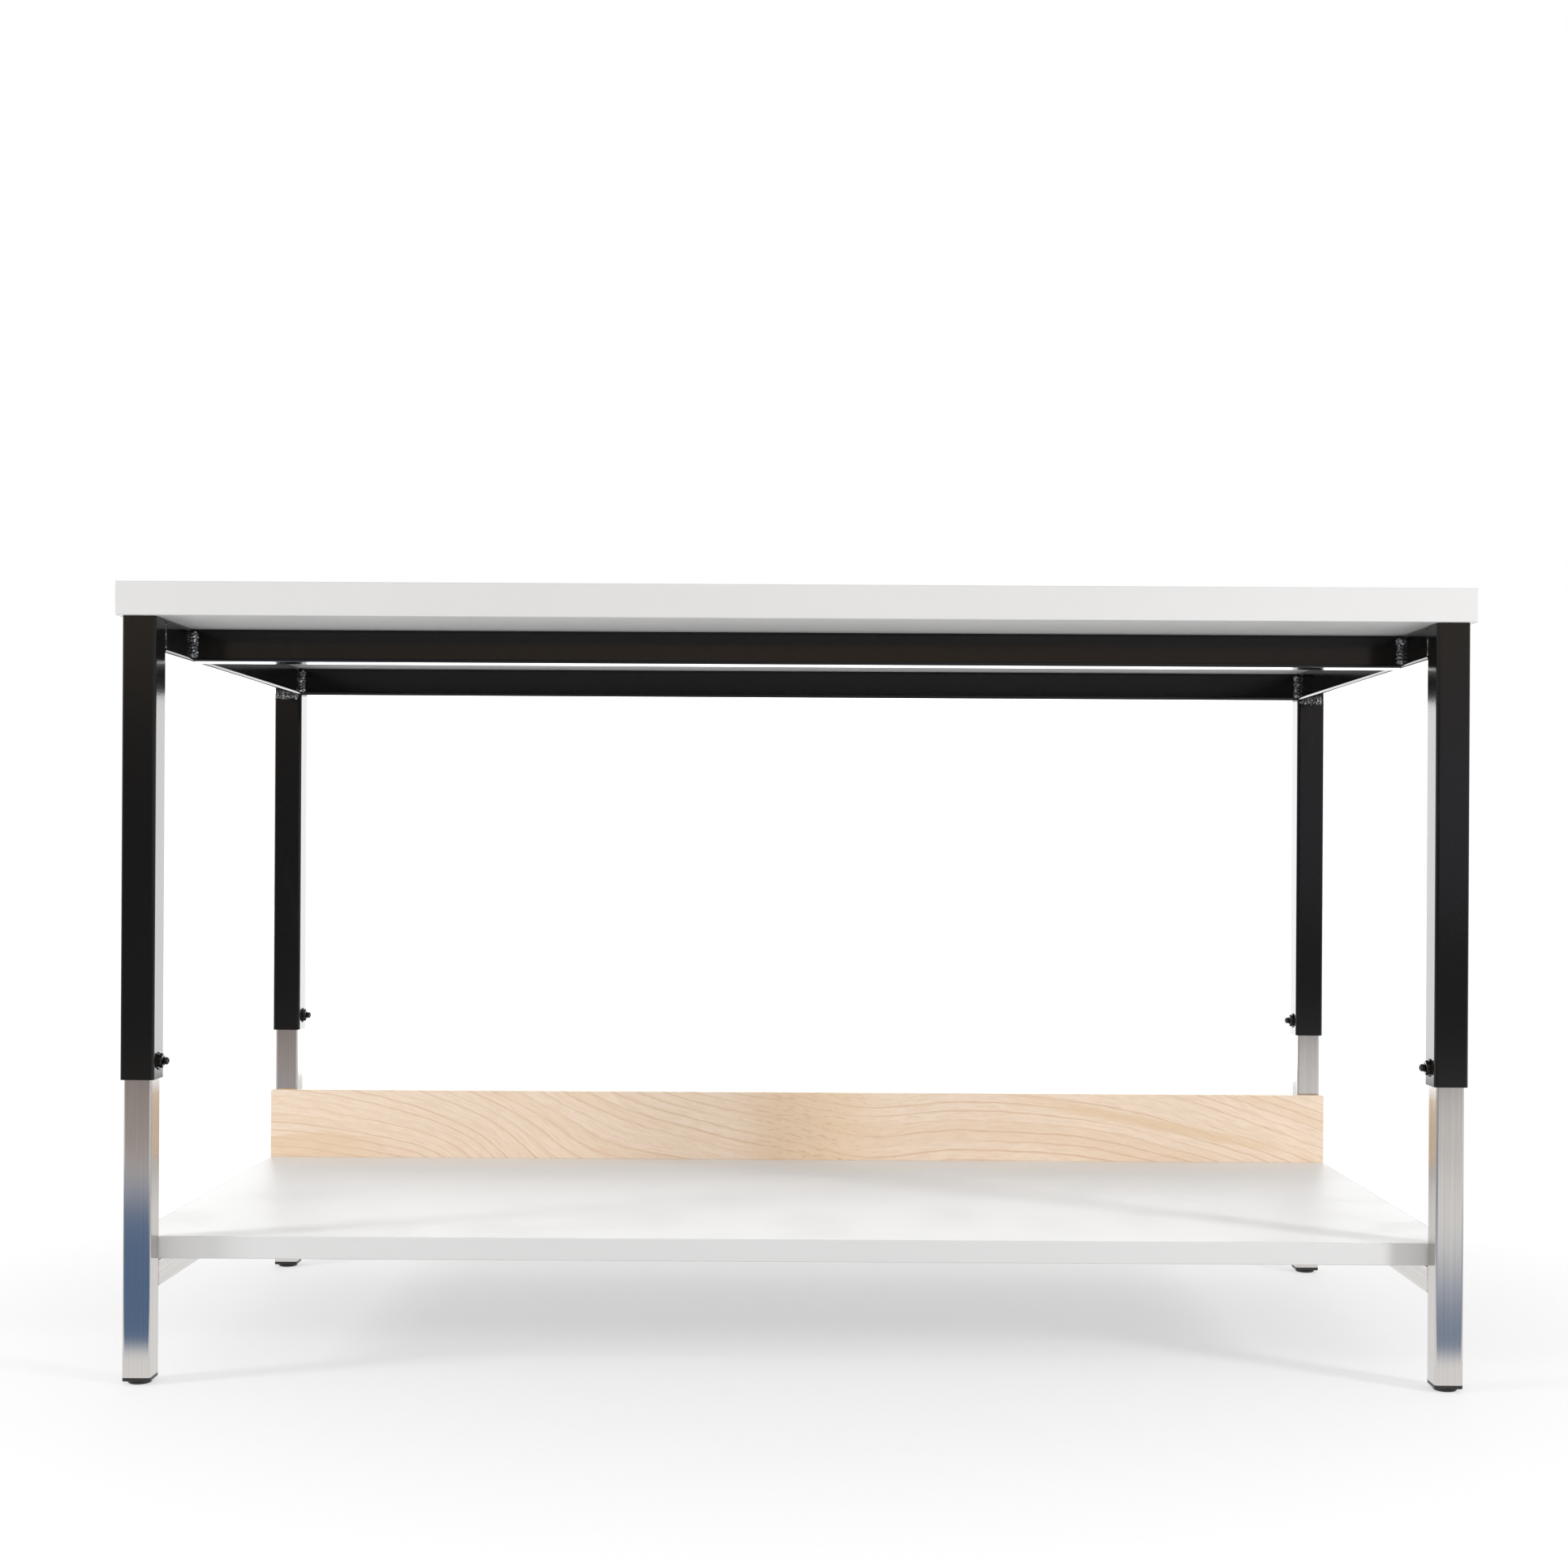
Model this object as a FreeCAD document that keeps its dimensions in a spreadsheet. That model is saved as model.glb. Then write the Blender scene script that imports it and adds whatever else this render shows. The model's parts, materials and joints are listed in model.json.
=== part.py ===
"""Height-adjustable assembly table, in millimetres.

A laminated worktop sits on a black welded upper frame. The frame's four square sleeves slide
over the bare metal legs of a lower frame. A screw in a nut welded to each sleeve's inner face
reaches into a row of holes in the leg and locks the height at 25.4 mm steps.
The lower frame carries a laminated shelf with a maple back board and stands on screw glides.

Frame: X runs along the worktop, -Y is the front, Z is up. The origin lies on the floor under
the middle of the worktop. The table is drawn at its lowest setting, with the glides screwed in.
"""
import FreeCAD, Part
import os
import re

import Sketcher

Vector = FreeCAD.Vector
Rotation = FreeCAD.Rotation
X_AXIS = Vector(1, 0, 0)
Y_AXIS = Vector(0, 1, 0)
Z_AXIS = Vector(0, 0, 1)
TOUCH = 1e-4

# Driving dimensions, one cell each: name, value, what it measures.
SIZES = [
    ("top_width", 1524.0, "worktop, left to right"),
    ("top_depth", 711.2, "worktop, front to back"),
    ("top_thick", 38.1, "worktop, all layers"),
    ("table_height", 901.7, "floor to work surface at the lowest setting"),
    ("laminate_thick", 1.2, "laminate sheet on a panel's upper face"),
    ("backer_thick", 0.8, "backing sheet under a panel"),
    ("band_thick", 3.0, "edge band round a panel"),
    ("band_round", 1.5, "rounding of an edge band's outer edges"),
    ("frame_inset", 6.35, "worktop's overhang past the sleeves"),
    ("leg_width", 31.75, "square tube of the lower legs and lower rails"),
    ("leg_wall", 2.9, "wall of that tube"),
    ("leg_round", 3.2, "outer corner radius of that tube"),
    ("leg_inner_round", 0.8, "inner corner radius of that tube"),
    ("leg_clearance", 0.3, "gap between a leg and its sleeve, each side"),
    ("leg_margin", 101.6, "leg above its top hole"),
    ("sleeve_wall", 2.875, "wall of the sleeves"),
    ("sleeve_round", 4.0, "outer corner radius of the sleeves"),
    ("sleeve_inner_round", 1.2, "inner corner radius of the sleeves"),
    ("sleeve_bottom", 342.9, "floor to the lower ends of the sleeves"),
    ("rail_wall", 2.1, "wall of the upper rails, which are as wide as the sleeves"),
    ("rail_round", 4.0, "outer corner radius of the upper rails"),
    ("rail_inner_round", 1.9, "inner corner radius of the upper rails"),
    ("front_rail_setback", 139.7, "sleeves' front face to the front rail's front face"),
    ("hole_pitch", 25.4, "step between height settings"),
    ("hole_count", 7, "height settings"),
    ("lock_edge", 20.3, "lock screw's axis above the sleeve's lower end"),
    ("lock_dia", 9.525, "lock screw"),
    ("lock_clearance", 0.4, "gap round the lock screw in its holes"),
    ("lock_end", 5.6, "lock screw standing out of its nut"),
    ("lock_reach", 4.0, "lock screw past the leg's wall"),
    ("thread_chamfer", 1.2, "chamfer at the ends of a lock screw or glide stud"),
    ("socket_flats", 4.76, "hexagon socket in the lock screw's outer end"),
    ("socket_deep", 4.8, "hexagon socket in the lock screw's outer end"),
    ("nut_flats", 14.3, "lock nut across its flats"),
    ("nut_high", 5.6, "lock nut"),
    ("nut_chamfer", 0.6, "slope of the bevel on the nut's corners"),
    ("nut_gap", 0.05, "gap between a thread and what it is screwed into"),
    ("tack_leg", 2.0, "leg of a lock nut's tack weld at the nut's corner"),
    ("tack_turn", 40.0, "angle that a tack weld runs round its nut"),
    ("shelf_height", 161.5, "floor to the shelf's upper face"),
    ("shelf_thick", 25.4, "shelf, all layers"),
    ("shelf_gap", 1.6, "front legs' rear faces to the shelf's front edge"),
    ("board_high", 96.3, "back board above the shelf's upper face"),
    ("board_thick", 12.7, "back board"),
    ("board_round", 1.0, "eased edges of the back board"),
    ("board_corner", 3.0, "rounding of the back board's upper corners"),
    ("screw_dia", 4.8, "wood screws"),
    ("screw_clearance", 0.3, "gap round a screw in a tube's wall"),
    ("screw_head_dia", 9.0, "flat head of a wood screw, sunk flush"),
    ("screw_rim_high", 0.3, "rim of a wood screw head"),
    ("screw_slope", 90.0, "angle of the head's cone and of its countersink"),
    ("screw_tip", 4.0, "taper at a wood screw's end"),
    ("top_screw_bite", 24.0, "screw length in the worktop"),
    ("shelf_screw_bite", 16.0, "screw length in the shelf"),
    ("board_screw_bite", 9.0, "screw length in the back board"),
    ("side_screw_y", 220.0, "outer screws of the lower side rails, from the middle"),
    ("cross_screw_inset", 52.0, "outer screws of the cross rails to the side rails"),
    ("board_screw_low", 25.0, "lower board screw above the shelf"),
    ("board_screw_high", 72.0, "upper board screw above the shelf"),
    ("weld_leg", 6.0, "leg of a fillet weld"),
    ("pad_dia", 26.5, "glide pad"),
    ("pad_high", 4.1, "glide pad"),
    ("pad_round", 1.6, "rounding of the glide pad's lower edge"),
    ("pad_floor", 1.1, "glide pad under the stud's head"),
    ("pad_roof", 1.1, "glide pad over the stud's head"),
    ("glide_gap", 0.2, "glide pad to the foot cap when screwed in"),
    ("stud_dia", 7.9, "glide stud"),
    ("stud_long", 42.0, "glide stud above the floor"),
    ("stud_head_dia", 15.0, "stud head inside the pad"),
    ("stud_gap", 0.1, "running gap round the stud and its head"),
    ("cap_flange", 4.1, "foot cap outside the leg"),
    ("cap_plug", 22.0, "foot cap inside the leg"),
    ("cap_gap", 0.15, "gap between the foot cap's plug and the leg, each side"),
    ("cap_round", 1.2, "rounding of the foot cap's plug"),
    ("bush_dia", 12.7, "threaded bush in the foot cap"),
    ("bush_long", 18.0, "threaded bush in the foot cap"),
]

# Sizes and places that follow from the driving dimensions.
DERIVED = {
    "sleeve_width": "leg_width + 2 * leg_clearance + 2 * sleeve_wall",
    "sleeve_bore": "leg_width + 2 * leg_clearance",
    "rail_width": "sleeve_width",
    "leg_x": "top_width / 2 - frame_inset - sleeve_width / 2",
    "leg_y": "top_depth / 2 - frame_inset - sleeve_width / 2",
    "top_under": "table_height - top_thick",
    "sleeve_long": "top_under - sleeve_bottom",
    "rail_z": "top_under - rail_width / 2",
    "side_rail_long": "2 * leg_y - sleeve_width",
    "front_rail_long": "2 * leg_x - rail_width",
    "rear_rail_long": "2 * leg_x - sleeve_width",
    "front_rail_y": "front_rail_setback + rail_width / 2 - leg_y - sleeve_width / 2",
    "lock_z": "sleeve_bottom + lock_edge",
    "lock_hole": "lock_dia + 2 * lock_clearance",
    "leg_base": "pad_high + glide_gap + cap_flange",
    "leg_long": "lock_z + (hole_count - 1) * hole_pitch + leg_margin - leg_base",
    "low_rail_z": "shelf_height - shelf_thick - leg_width / 2",
    "low_rail_long": "2 * leg_y - leg_width",
    "shelf_width": "top_width - 2 * frame_inset",
    "shelf_front": "shelf_gap + leg_width / 2 - leg_y",
    "rear_leg_face": "leg_y - leg_width / 2",
    "shelf_rear": "rear_leg_face - board_thick",
    "shelf_depth": "shelf_rear - shelf_front",
    "shelf_y": "(shelf_rear + shelf_front) / 2",
    "board_y": "rear_leg_face - board_thick / 2",
    "board_bottom": "shelf_height - shelf_thick",
    "cross_screw_x": "leg_x - rail_width / 2 - cross_screw_inset",
    "screw_hole": "screw_dia + 2 * screw_clearance",
    "screw_cone": "(screw_head_dia - screw_dia) / 2 / tan(screw_slope * 1 deg / 2)",
    "countersink_dia": "screw_head_dia + 2 * tan(screw_slope * 1 deg / 2) * (screw_rim_high + nut_gap)",
    "pilot_hole": "screw_dia + 2 * nut_gap",
    "bush_bore": "stud_dia + 2 * stud_gap",
    "plug_width": "leg_width - 2 * leg_wall - 2 * cap_gap",
}

ALIASES = [name for name, value, meaning in SIZES]
WORD = re.compile(r"[a-z][a-z_]*")

doc = FreeCAD.newDocument("AssemblyTable")
sheet = doc.addObject("Spreadsheet::Sheet", "Sizes")
for row, (name, value, meaning) in enumerate(SIZES, start=1):
    sheet.set(f"A{row}", str(value))
    sheet.setAlias(f"A{row}", name)
    sheet.set(f"B{row}", meaning)
doc.recompute()

nodes = []


def formula(text):
    """A sheet formula from a sum of size names, with derived names written out."""

    def swap(match):
        word = match.group(0)
        if word in DERIVED:
            return "(" + formula(DERIVED[word]) + ")"
        return "Sizes." + word if word in ALIASES else word

    return WORD.sub(swap, text)


def value_of(text):
    """The number that a formula stands for now."""
    return float(sheet.evalExpression(formula(text)))


def bind(thing, path, text):
    thing.setExpression(path, formula(text))


def place(thing, x, y, z, turn=Rotation()):
    """Turn an object and tie its place to the sheet."""
    thing.Placement = FreeCAD.Placement(Vector(), turn)
    for axis, text in zip("xyz", (x, y, z)):
        bind(thing, f"Placement.Base.{axis}", text)


def keep(thing, label):
    """Make an object a node of its own, under this label."""
    thing.Label = label
    nodes.append(thing)
    return thing


# ---------------------------------------------------------------- sketches


def sketch_on(body, role, lift="0"):
    """An empty sketch on one of the body's own origin planes, lifted along its normal."""
    sketch = body.newObject("Sketcher::SketchObject", body.Name + "Sketch")
    plane = [item for item in body.Origin.OriginFeatures if item.Role == role][0]
    sketch.AttachmentSupport = [(plane, "")]
    sketch.MapMode = "FlatFace"
    bind(sketch, "AttachmentOffset.Base.z", lift)
    return sketch


def pin_point(sketch, item, end, x, y):
    """Tie a point of a sketch to its axes, at two formulas."""
    for kind, axis, text in (("DistanceX", -2, x), ("DistanceY", -1, y)):
        if text == "0":
            sketch.addConstraint(Sketcher.Constraint("PointOnObject", item, end, axis))
            continue
        rule = Sketcher.Constraint(kind, -1, 1, item, end, value_of(text))
        number = sketch.addConstraint(rule)
        bind(sketch, f"Constraints[{number}]", text)


def outline(sketch, corners):
    """A closed outline of straight lines through corners given as formulas."""
    points = [Vector(value_of(x), value_of(y), 0) for x, y in corners]
    count = len(points)
    first = sketch.GeometryCount
    for i in range(count):
        line = Part.LineSegment(points[i], points[(i + 1) % count])
        sketch.addGeometry(line, False)
    for i in range(count):
        after = first + (i + 1) % count
        sketch.addConstraint(Sketcher.Constraint("Coincident", first + i, 2, after, 1))
    for i, (x, y) in enumerate(corners):
        pin_point(sketch, first + i, 1, x, y)


def circle(sketch, x, y, diameter):
    centre = Vector(value_of(x), value_of(y), 0)
    ring = Part.Circle(centre, Z_AXIS, value_of(diameter) / 2)
    item = sketch.addGeometry(ring, False)
    pin_point(sketch, item, 3, x, y)
    number = sketch.addConstraint(Sketcher.Constraint("Diameter", item, value_of(diameter)))
    bind(sketch, f"Constraints[{number}]", diameter)


def rectangle(sketch, wide, deep):
    """A rectangle centred on the sketch's origin."""
    half_x, half_y = f"({wide}) / 2", f"({deep}) / 2"
    corners = [
        (f"-{half_x}", f"-{half_y}"),
        (half_x, f"-{half_y}"),
        (half_x, half_y),
        (f"-{half_x}", half_y),
    ]
    outline(sketch, corners)


def hexagon(sketch, flats):
    """A hexagon by its width across flats, centred on the sketch's origin."""
    across, half = f"({flats}) / sqrt(3)", f"({flats}) / 2"
    corners = [
        (across, "0"),
        (f"{across} / 2", half),
        (f"-{across} / 2", half),
        (f"-{across}", "0"),
        (f"-{across} / 2", f"-{half}"),
        (f"{across} / 2", f"-{half}"),
    ]
    outline(sketch, corners)


# ---------------------------------------------------------------- features


def new_body(name):
    return doc.addObject("PartDesign::Body", name)


def pad(body, sketch, length):
    feature = body.newObject("PartDesign::Pad", body.Name + "Pad")
    feature.Profile = sketch
    bind(feature, "Length", length)
    doc.recompute()
    return feature


def turn_solid(body, corners):
    """A solid of revolution about Z from corners given as (radius, height)."""
    sketch = sketch_on(body, "XZ_Plane")
    outline(sketch, corners)
    feature = body.newObject("PartDesign::Revolution", body.Name + "Revolution")
    feature.Profile = sketch
    feature.ReferenceAxis = (sketch, ["V_Axis"])
    feature.Angle = 360
    doc.recompute()
    return feature


def cut_through(body, sketch, both_ways=True, other_way=False):
    """Cut a sketch through the body, and make sure that it takes material away."""
    before = body.Shape.Volume
    feature = body.newObject("PartDesign::Pocket", body.Name + "Pocket")
    feature.Profile = sketch
    feature.Type = "ThroughAll"
    feature.Midplane = both_ways
    feature.Reversed = other_way
    doc.recompute()
    if body.Shape.Volume > before - TOUCH:
        raise RuntimeError(body.Name + ": a pocket cut nothing")
    return feature


def fillet(body, picks, radius):
    """Round the edges of the body's present shape for which picks(edge) is true."""
    base = body.Tip
    names = [f"Edge{i}" for i, edge in enumerate(base.Shape.Edges, start=1) if picks(edge)]
    feature = body.newObject("PartDesign::Fillet", body.Name + "Fillet")
    feature.Base = (base, names)
    bind(feature, "Radius", radius)
    doc.recompute()
    return feature


def along(axis):
    """A test for straight edges that run along an axis."""

    def test(edge):
        if len(edge.Vertexes) < 2:
            return False
        run = edge.Vertexes[1].Point - edge.Vertexes[0].Point
        return run.Length > TOUCH and run.cross(axis).Length < TOUCH * run.Length

    return test


def square_corners(width):
    """A test for the four upright edges of a square tube of this width."""
    half = value_of(width) / 2

    def test(edge):
        middle = edge.CenterOfMass
        return (
            along(Z_AXIS)(edge)
            and abs(abs(middle.x) - half) < TOUCH
            and abs(abs(middle.y) - half) < TOUCH
        )

    return test


def ring_at(radius, height):
    """A test for the round edge of this radius at this height."""

    def test(edge):
        middle = edge.BoundBox
        return (
            abs(middle.ZMax - height) < TOUCH
            and abs(middle.ZMin - height) < TOUCH
            and abs(middle.XMax - radius) < TOUCH
        )

    return test


# ---------------------------------------------------------------- kinds of piece

UPRIGHT = Rotation()
ALONG_X = Rotation(Y_AXIS, 90)
AGAINST_X = Rotation(Y_AXIS, -90)
ALONG_Y = Rotation(X_AXIS, -90)
AGAINST_Y = Rotation(X_AXIS, 90)


def tube(name, width, bore, length, outer_round, inner_round):
    """A square tube from the origin along its own Z."""
    body = new_body(name)
    sketch = sketch_on(body, "XY_Plane")
    rectangle(sketch, width, width)
    rectangle(sketch, bore, bore)
    pad(body, sketch, length)
    fillet(body, square_corners(width), outer_round)
    fillet(body, square_corners(bore), inner_round)
    return body


def drill(body, role, centres, diameter, **ways):
    """Round holes square to one of the body's origin planes."""
    sketch = sketch_on(body, role)
    for x, y in centres:
        circle(sketch, x, y, diameter)
    return cut_through(body, sketch, **ways)


def inner_wall_hole(body, height, x_sign):
    """A lock screw's hole in the wall of a left or right tube that faces the table's middle."""
    facing_x = x_sign == "-1"
    return drill(body, "YZ_Plane", [("0", height)], "lock_hole", both_ways=False, other_way=facing_x)


def screw_holes(body, role, face, centres, other_way):
    """Screw holes right through a tube, countersunk in the wall that the screws go in by."""
    sketch = sketch_on(body, role, lift=face)
    for x, y in centres:
        circle(sketch, x, y, "screw_hole")
    before = body.Shape.Volume
    feature = body.newObject("PartDesign::Hole", body.Name + "ScrewHoles")
    feature.Profile = sketch
    doc.recompute()
    feature.ThreadType = "None"
    feature.DepthType = "ThroughAll"
    feature.HoleCutType = "Countersink"
    feature.HoleCutCustomValues = True
    feature.Reversed = other_way
    bind(feature, "Diameter", "screw_hole")
    bind(feature, "HoleCutDiameter", "countersink_dia")
    bind(feature, "HoleCutCountersinkAngle", "screw_slope")
    doc.recompute()
    if body.Shape.Volume > before - TOUCH:
        raise RuntimeError(body.Name + ": the screw holes cut nothing")


def check_open(body, point):
    if body.Shape.isInside(point, TOUCH, True):
        raise RuntimeError(f"{body.Label}: no hole at {point}")


def slab(name, label, sizes, centre, bottom):
    """A flat panel with a body of its own, centred in X and Y, from its bottom up."""
    body = new_body(name)
    sketch = sketch_on(body, "XY_Plane")
    rectangle(sketch, sizes[0], sizes[1])
    pad(body, sketch, sizes[2])
    place(body, centre[0], centre[1], bottom)
    return keep(body, label)


def pilot_holes(body, centres, depth):
    """Blind holes from the body's lower face up."""
    sketch = sketch_on(body, "XY_Plane", lift=depth)
    for x, y in centres:
        circle(sketch, x, y, "pilot_hole")
    cut_through(body, sketch, both_ways=False)


def group(label, template, places):
    """One node of several copies of a template, each at its own place."""
    copies = []
    for number, (x, y, z, turn) in enumerate(places, start=1):
        copy = doc.addObject("App::Link", f"{template.Name}Copy{number}")
        copy.LinkedObject = template
        place(copy, x, y, z, turn)
        copies.append(copy)
    compound = doc.addObject("Part::Compound", label.title().replace("_", ""))
    compound.Links = copies
    return keep(compound, label)


SIDES = (("left", "-1"), ("right", "1"))
ENDS = (("front", "-1"), ("rear", "1"))
CORNERS = [
    (f"{end}_{side}", x_sign, y_sign) for end, y_sign in ENDS for side, x_sign in SIDES
]


def times(sign, text):
    return f"{sign} * ({text})"


# ---------------------------------------------------------------- panels

SIDE_SCREWS = [f"{step} * side_screw_y" for step in ("-1", "0", "1")]
CROSS_SCREWS = [f"{step} * (cross_screw_x)" for step in ("-1", "0", "1")]


def not_on_inner_face(axis, sign):
    """A test for a band's edges that lie away from its inner face."""

    def test(edge):
        inner = -sign * value_of("band_thick") / 2
        return abs(edge.CenterOfMass.dot(axis) - inner) > TOUCH

    return test


def outer_long_edges(sign):
    """A test for a side band's two long outer edges."""

    def test(edge):
        return along(Y_AXIS)(edge) and edge.CenterOfMass.x * sign > TOUCH

    return test


def edge_bands(stem, name, width, depth, high, y, bottom):
    """Four bands round a panel: the front and rear ones run its full width."""
    for end, sign in ENDS:
        centre = f"{y} + {times(sign, f'({depth}) / 2 - band_thick / 2')}"
        sizes = (width, "band_thick", high)
        label = f"{stem}_edge_{end}"
        band = slab(f"{name}Edge{end.title()}", label, sizes, ("0", centre), bottom)
        fillet(band, not_on_inner_face(Y_AXIS, int(sign)), "band_round")
    for side, sign in SIDES:
        centre = times(sign, f"({width}) / 2 - band_thick / 2")
        sizes = ("band_thick", f"{depth} - 2 * band_thick", high)
        label = f"{stem}_edge_{side}"
        band = slab(f"{name}Edge{side.title()}", label, sizes, (centre, y), bottom)
        fillet(band, outer_long_edges(int(sign)), "band_round")


def panel(stem, name, width, depth, high, y, bottom, screws, bite):
    """A core between two thin sheets, with banded edges and pilot holes for screws."""
    wide, deep = f"{width} - 2 * band_thick", f"{depth} - 2 * band_thick"
    core_high = f"{high} - laminate_thick - backer_thick"
    core_z = f"{bottom} + backer_thick"
    sheet_z = f"{bottom} + {high} - laminate_thick"
    centre = ("0", y)
    core = slab(f"{name}Core", f"{stem}_core", (wide, deep, core_high), centre, core_z)
    pilot_holes(core, screws, f"{bite} - backer_thick + nut_gap")
    backer_sizes = (wide, deep, "backer_thick")
    backer = slab(f"{name}Backer", f"{stem}_backer", backer_sizes, centre, bottom)
    drill(backer, "XY_Plane", screws, "pilot_hole")
    sheet_sizes = (wide, deep, "laminate_thick")
    slab(f"{name}Laminate", f"{stem}_laminate", sheet_sizes, centre, sheet_z)
    edge_bands(stem, name, width, depth, high, y, bottom)


top_screws = [(x, y) for y in ("front_rail_y", "leg_y") for x in CROSS_SCREWS]
panel(
    "tabletop", "Top", "top_width", "top_depth", "top_thick", "0", "top_under",
    top_screws, "top_screw_bite",
)
shelf_screws = [
    (times(sign, "leg_x"), f"{y} - shelf_y") for side, sign in SIDES for y in SIDE_SCREWS
]
panel(
    "shelf", "Shelf", "shelf_width", "shelf_depth", "shelf_thick", "shelf_y",
    "shelf_height - shelf_thick", shelf_screws, "shelf_screw_bite",
)

# The back board stands on the lower side rails, behind the shelf, against the rear legs.
board = slab(
    "BackBoard", "back_board", ("shelf_width", "board_thick", "board_high + shelf_thick"),
    ("0", "board_y"), "board_bottom",
)
board_across = along(Y_AXIS)
fillet(board, lambda edge: board_across(edge) and edge.CenterOfMass.z > TOUCH, "board_corner")
fillet(board, lambda edge: not board_across(edge) or edge.CenterOfMass.z < TOUCH, "board_round")
board_screw_heights = [f"shelf_height + {height}" for height in ("board_screw_low", "board_screw_high")]
board_sketch = sketch_on(board, "XZ_Plane", lift="board_screw_bite + nut_gap - board_thick / 2")
for side, sign in SIDES:
    for height in board_screw_heights:
        circle(board_sketch, times(sign, "leg_x"), f"{height} - board_bottom", "pilot_hole")
cut_through(board, board_sketch, both_ways=False)
check_open(board, Vector(value_of("leg_x"), value_of("rear_leg_face - board_screw_bite / 2"),
                         value_of(board_screw_heights[0])))

# ---------------------------------------------------------------- lower frame

LEG_TUBE = ("leg_width", "leg_width - 2 * leg_wall")
LEG_ROUNDS = ("leg_round", "leg_inner_round")


def lower_leg(corner, x_sign, y_sign):
    """A leg with its row of lock holes, and a rear leg's screw holes for the board."""
    leg = tube("LowerLeg" + corner.title().replace("_", ""), *LEG_TUBE, "leg_long", *LEG_ROUNDS)
    hole = inner_wall_hole(leg, "lock_z - leg_base", x_sign)
    row = leg.newObject("PartDesign::LinearPattern", leg.Name + "Holes")
    row.Originals = [hole]
    upward = [item for item in leg.Origin.OriginFeatures if item.Role == "Z_Axis"][0]
    row.Direction = (upward, [""])
    bind(row, "Length", "(hole_count - 1) * hole_pitch")
    bind(row, "Occurrences", "hole_count")
    leg.Tip = row
    doc.recompute()
    if y_sign == "1":
        centres = [("0", f"{height} - leg_base") for height in board_screw_heights]
        screw_holes(leg, "XZ_Plane", "-leg_width / 2", centres, other_way=True)
    place(leg, times(x_sign, "leg_x"), times(y_sign, "leg_y"), "leg_base")
    keep(leg, "lower_leg_" + corner)


for corner, x_sign, y_sign in CORNERS:
    lower_leg(corner, x_sign, y_sign)

for side, sign in SIDES:
    rail = tube("LowerRail" + side.title(), *LEG_TUBE, "low_rail_long", *LEG_ROUNDS)
    centres = [("0", f"low_rail_long / 2 + {y}") for y in SIDE_SCREWS]
    screw_holes(rail, "XZ_Plane", "-leg_width / 2", centres, other_way=True)
    place(rail, times(sign, "leg_x"), "-low_rail_long / 2", "low_rail_z", ALONG_Y)
    keep(rail, "lower_side_rail_" + side)
    doc.recompute()
    below = Vector(value_of(times(sign, "leg_x")), value_of("screw_head_dia / 2"),
                   value_of("low_rail_z - leg_width / 2 + nut_gap"))
    check_open(rail, below)


def groove_weld(name, corner_round, length):
    """The weld metal between a tube's rounded corner and a tube end set flush against it."""
    body = new_body(name)
    sketch = sketch_on(body, "XY_Plane")
    radius = value_of(corner_round)
    a, b, c = Vector(), Vector(-radius, 0, 0), Vector(0, -radius, 0)
    middle = Vector(-radius, -radius, 0)
    bulge = middle + Vector(1, 1, 0).normalize() * radius
    sketch.addGeometry(Part.LineSegment(a, b), False)
    sketch.addGeometry(Part.LineSegment(c, a), False)
    sketch.addGeometry(Part.Arc(c, bulge, b), False)
    sketch.addConstraint(Sketcher.Constraint("Coincident", 0, 1, 1, 2))
    sketch.addConstraint(Sketcher.Constraint("Coincident", 0, 2, 2, 2))
    sketch.addConstraint(Sketcher.Constraint("Coincident", 1, 1, 2, 1))
    sketch.addConstraint(Sketcher.Constraint("Coincident", 0, 1, -1, 1))
    sketch.addConstraint(Sketcher.Constraint("Horizontal", 0))
    sketch.addConstraint(Sketcher.Constraint("Vertical", 1))
    sketch.addConstraint(Sketcher.Constraint("Vertical", 0, 2, 2, 3))
    sketch.addConstraint(Sketcher.Constraint("Horizontal", 1, 1, 2, 3))
    number = sketch.addConstraint(Sketcher.Constraint("DistanceX", 0, 2, 0, 1, radius))
    bind(sketch, f"Constraints[{number}]", corner_round)
    pad(body, sketch, length)
    return body


# Turn of a groove weld by its face's side (x) and its leg's end (y). Unturned, the weld
# runs from its corner towards -X and -Y.
WELD_TURN = {("1", "-1"): 0, ("-1", "-1"): 90, ("-1", "1"): 180, ("1", "1"): 270}


def groove_places(width, bottom):
    """Both faces of the four joints where a side rail meets a leg: x, y, z and turn."""
    out = []
    for corner, x_sign, y_sign in CORNERS:
        for face in ("-1", "1"):
            x = f"{times(x_sign, 'leg_x')} + {face} * ({width}) / 2"
            y = times(y_sign, f"leg_y - ({width}) / 2")
            turn = Rotation(Z_AXIS, WELD_TURN[(face, y_sign)])
            out.append((x, y, bottom, turn))
    return out


low_groove = groove_weld("LowGroove", "leg_round", "leg_width - 2 * leg_round")
group(
    "lower_rail_welds", low_groove,
    groove_places("leg_width", "low_rail_z - leg_width / 2 + leg_round"),
)


def wood_screw(name, wall, bite):
    """A flat head screw that points up, with its head's face on the plane of its origin."""
    body = new_body(name)
    shank, head = "screw_dia / 2", "screw_head_dia / 2"
    length = f"{wall} + {bite}"
    corners = [
        ("0", "0"),
        (head, "0"),
        (head, "screw_rim_high"),
        (shank, "screw_rim_high + screw_cone"),
        (shank, f"{length} - screw_tip"),
        ("0", length),
    ]
    turn_solid(body, corners)
    return body


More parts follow.
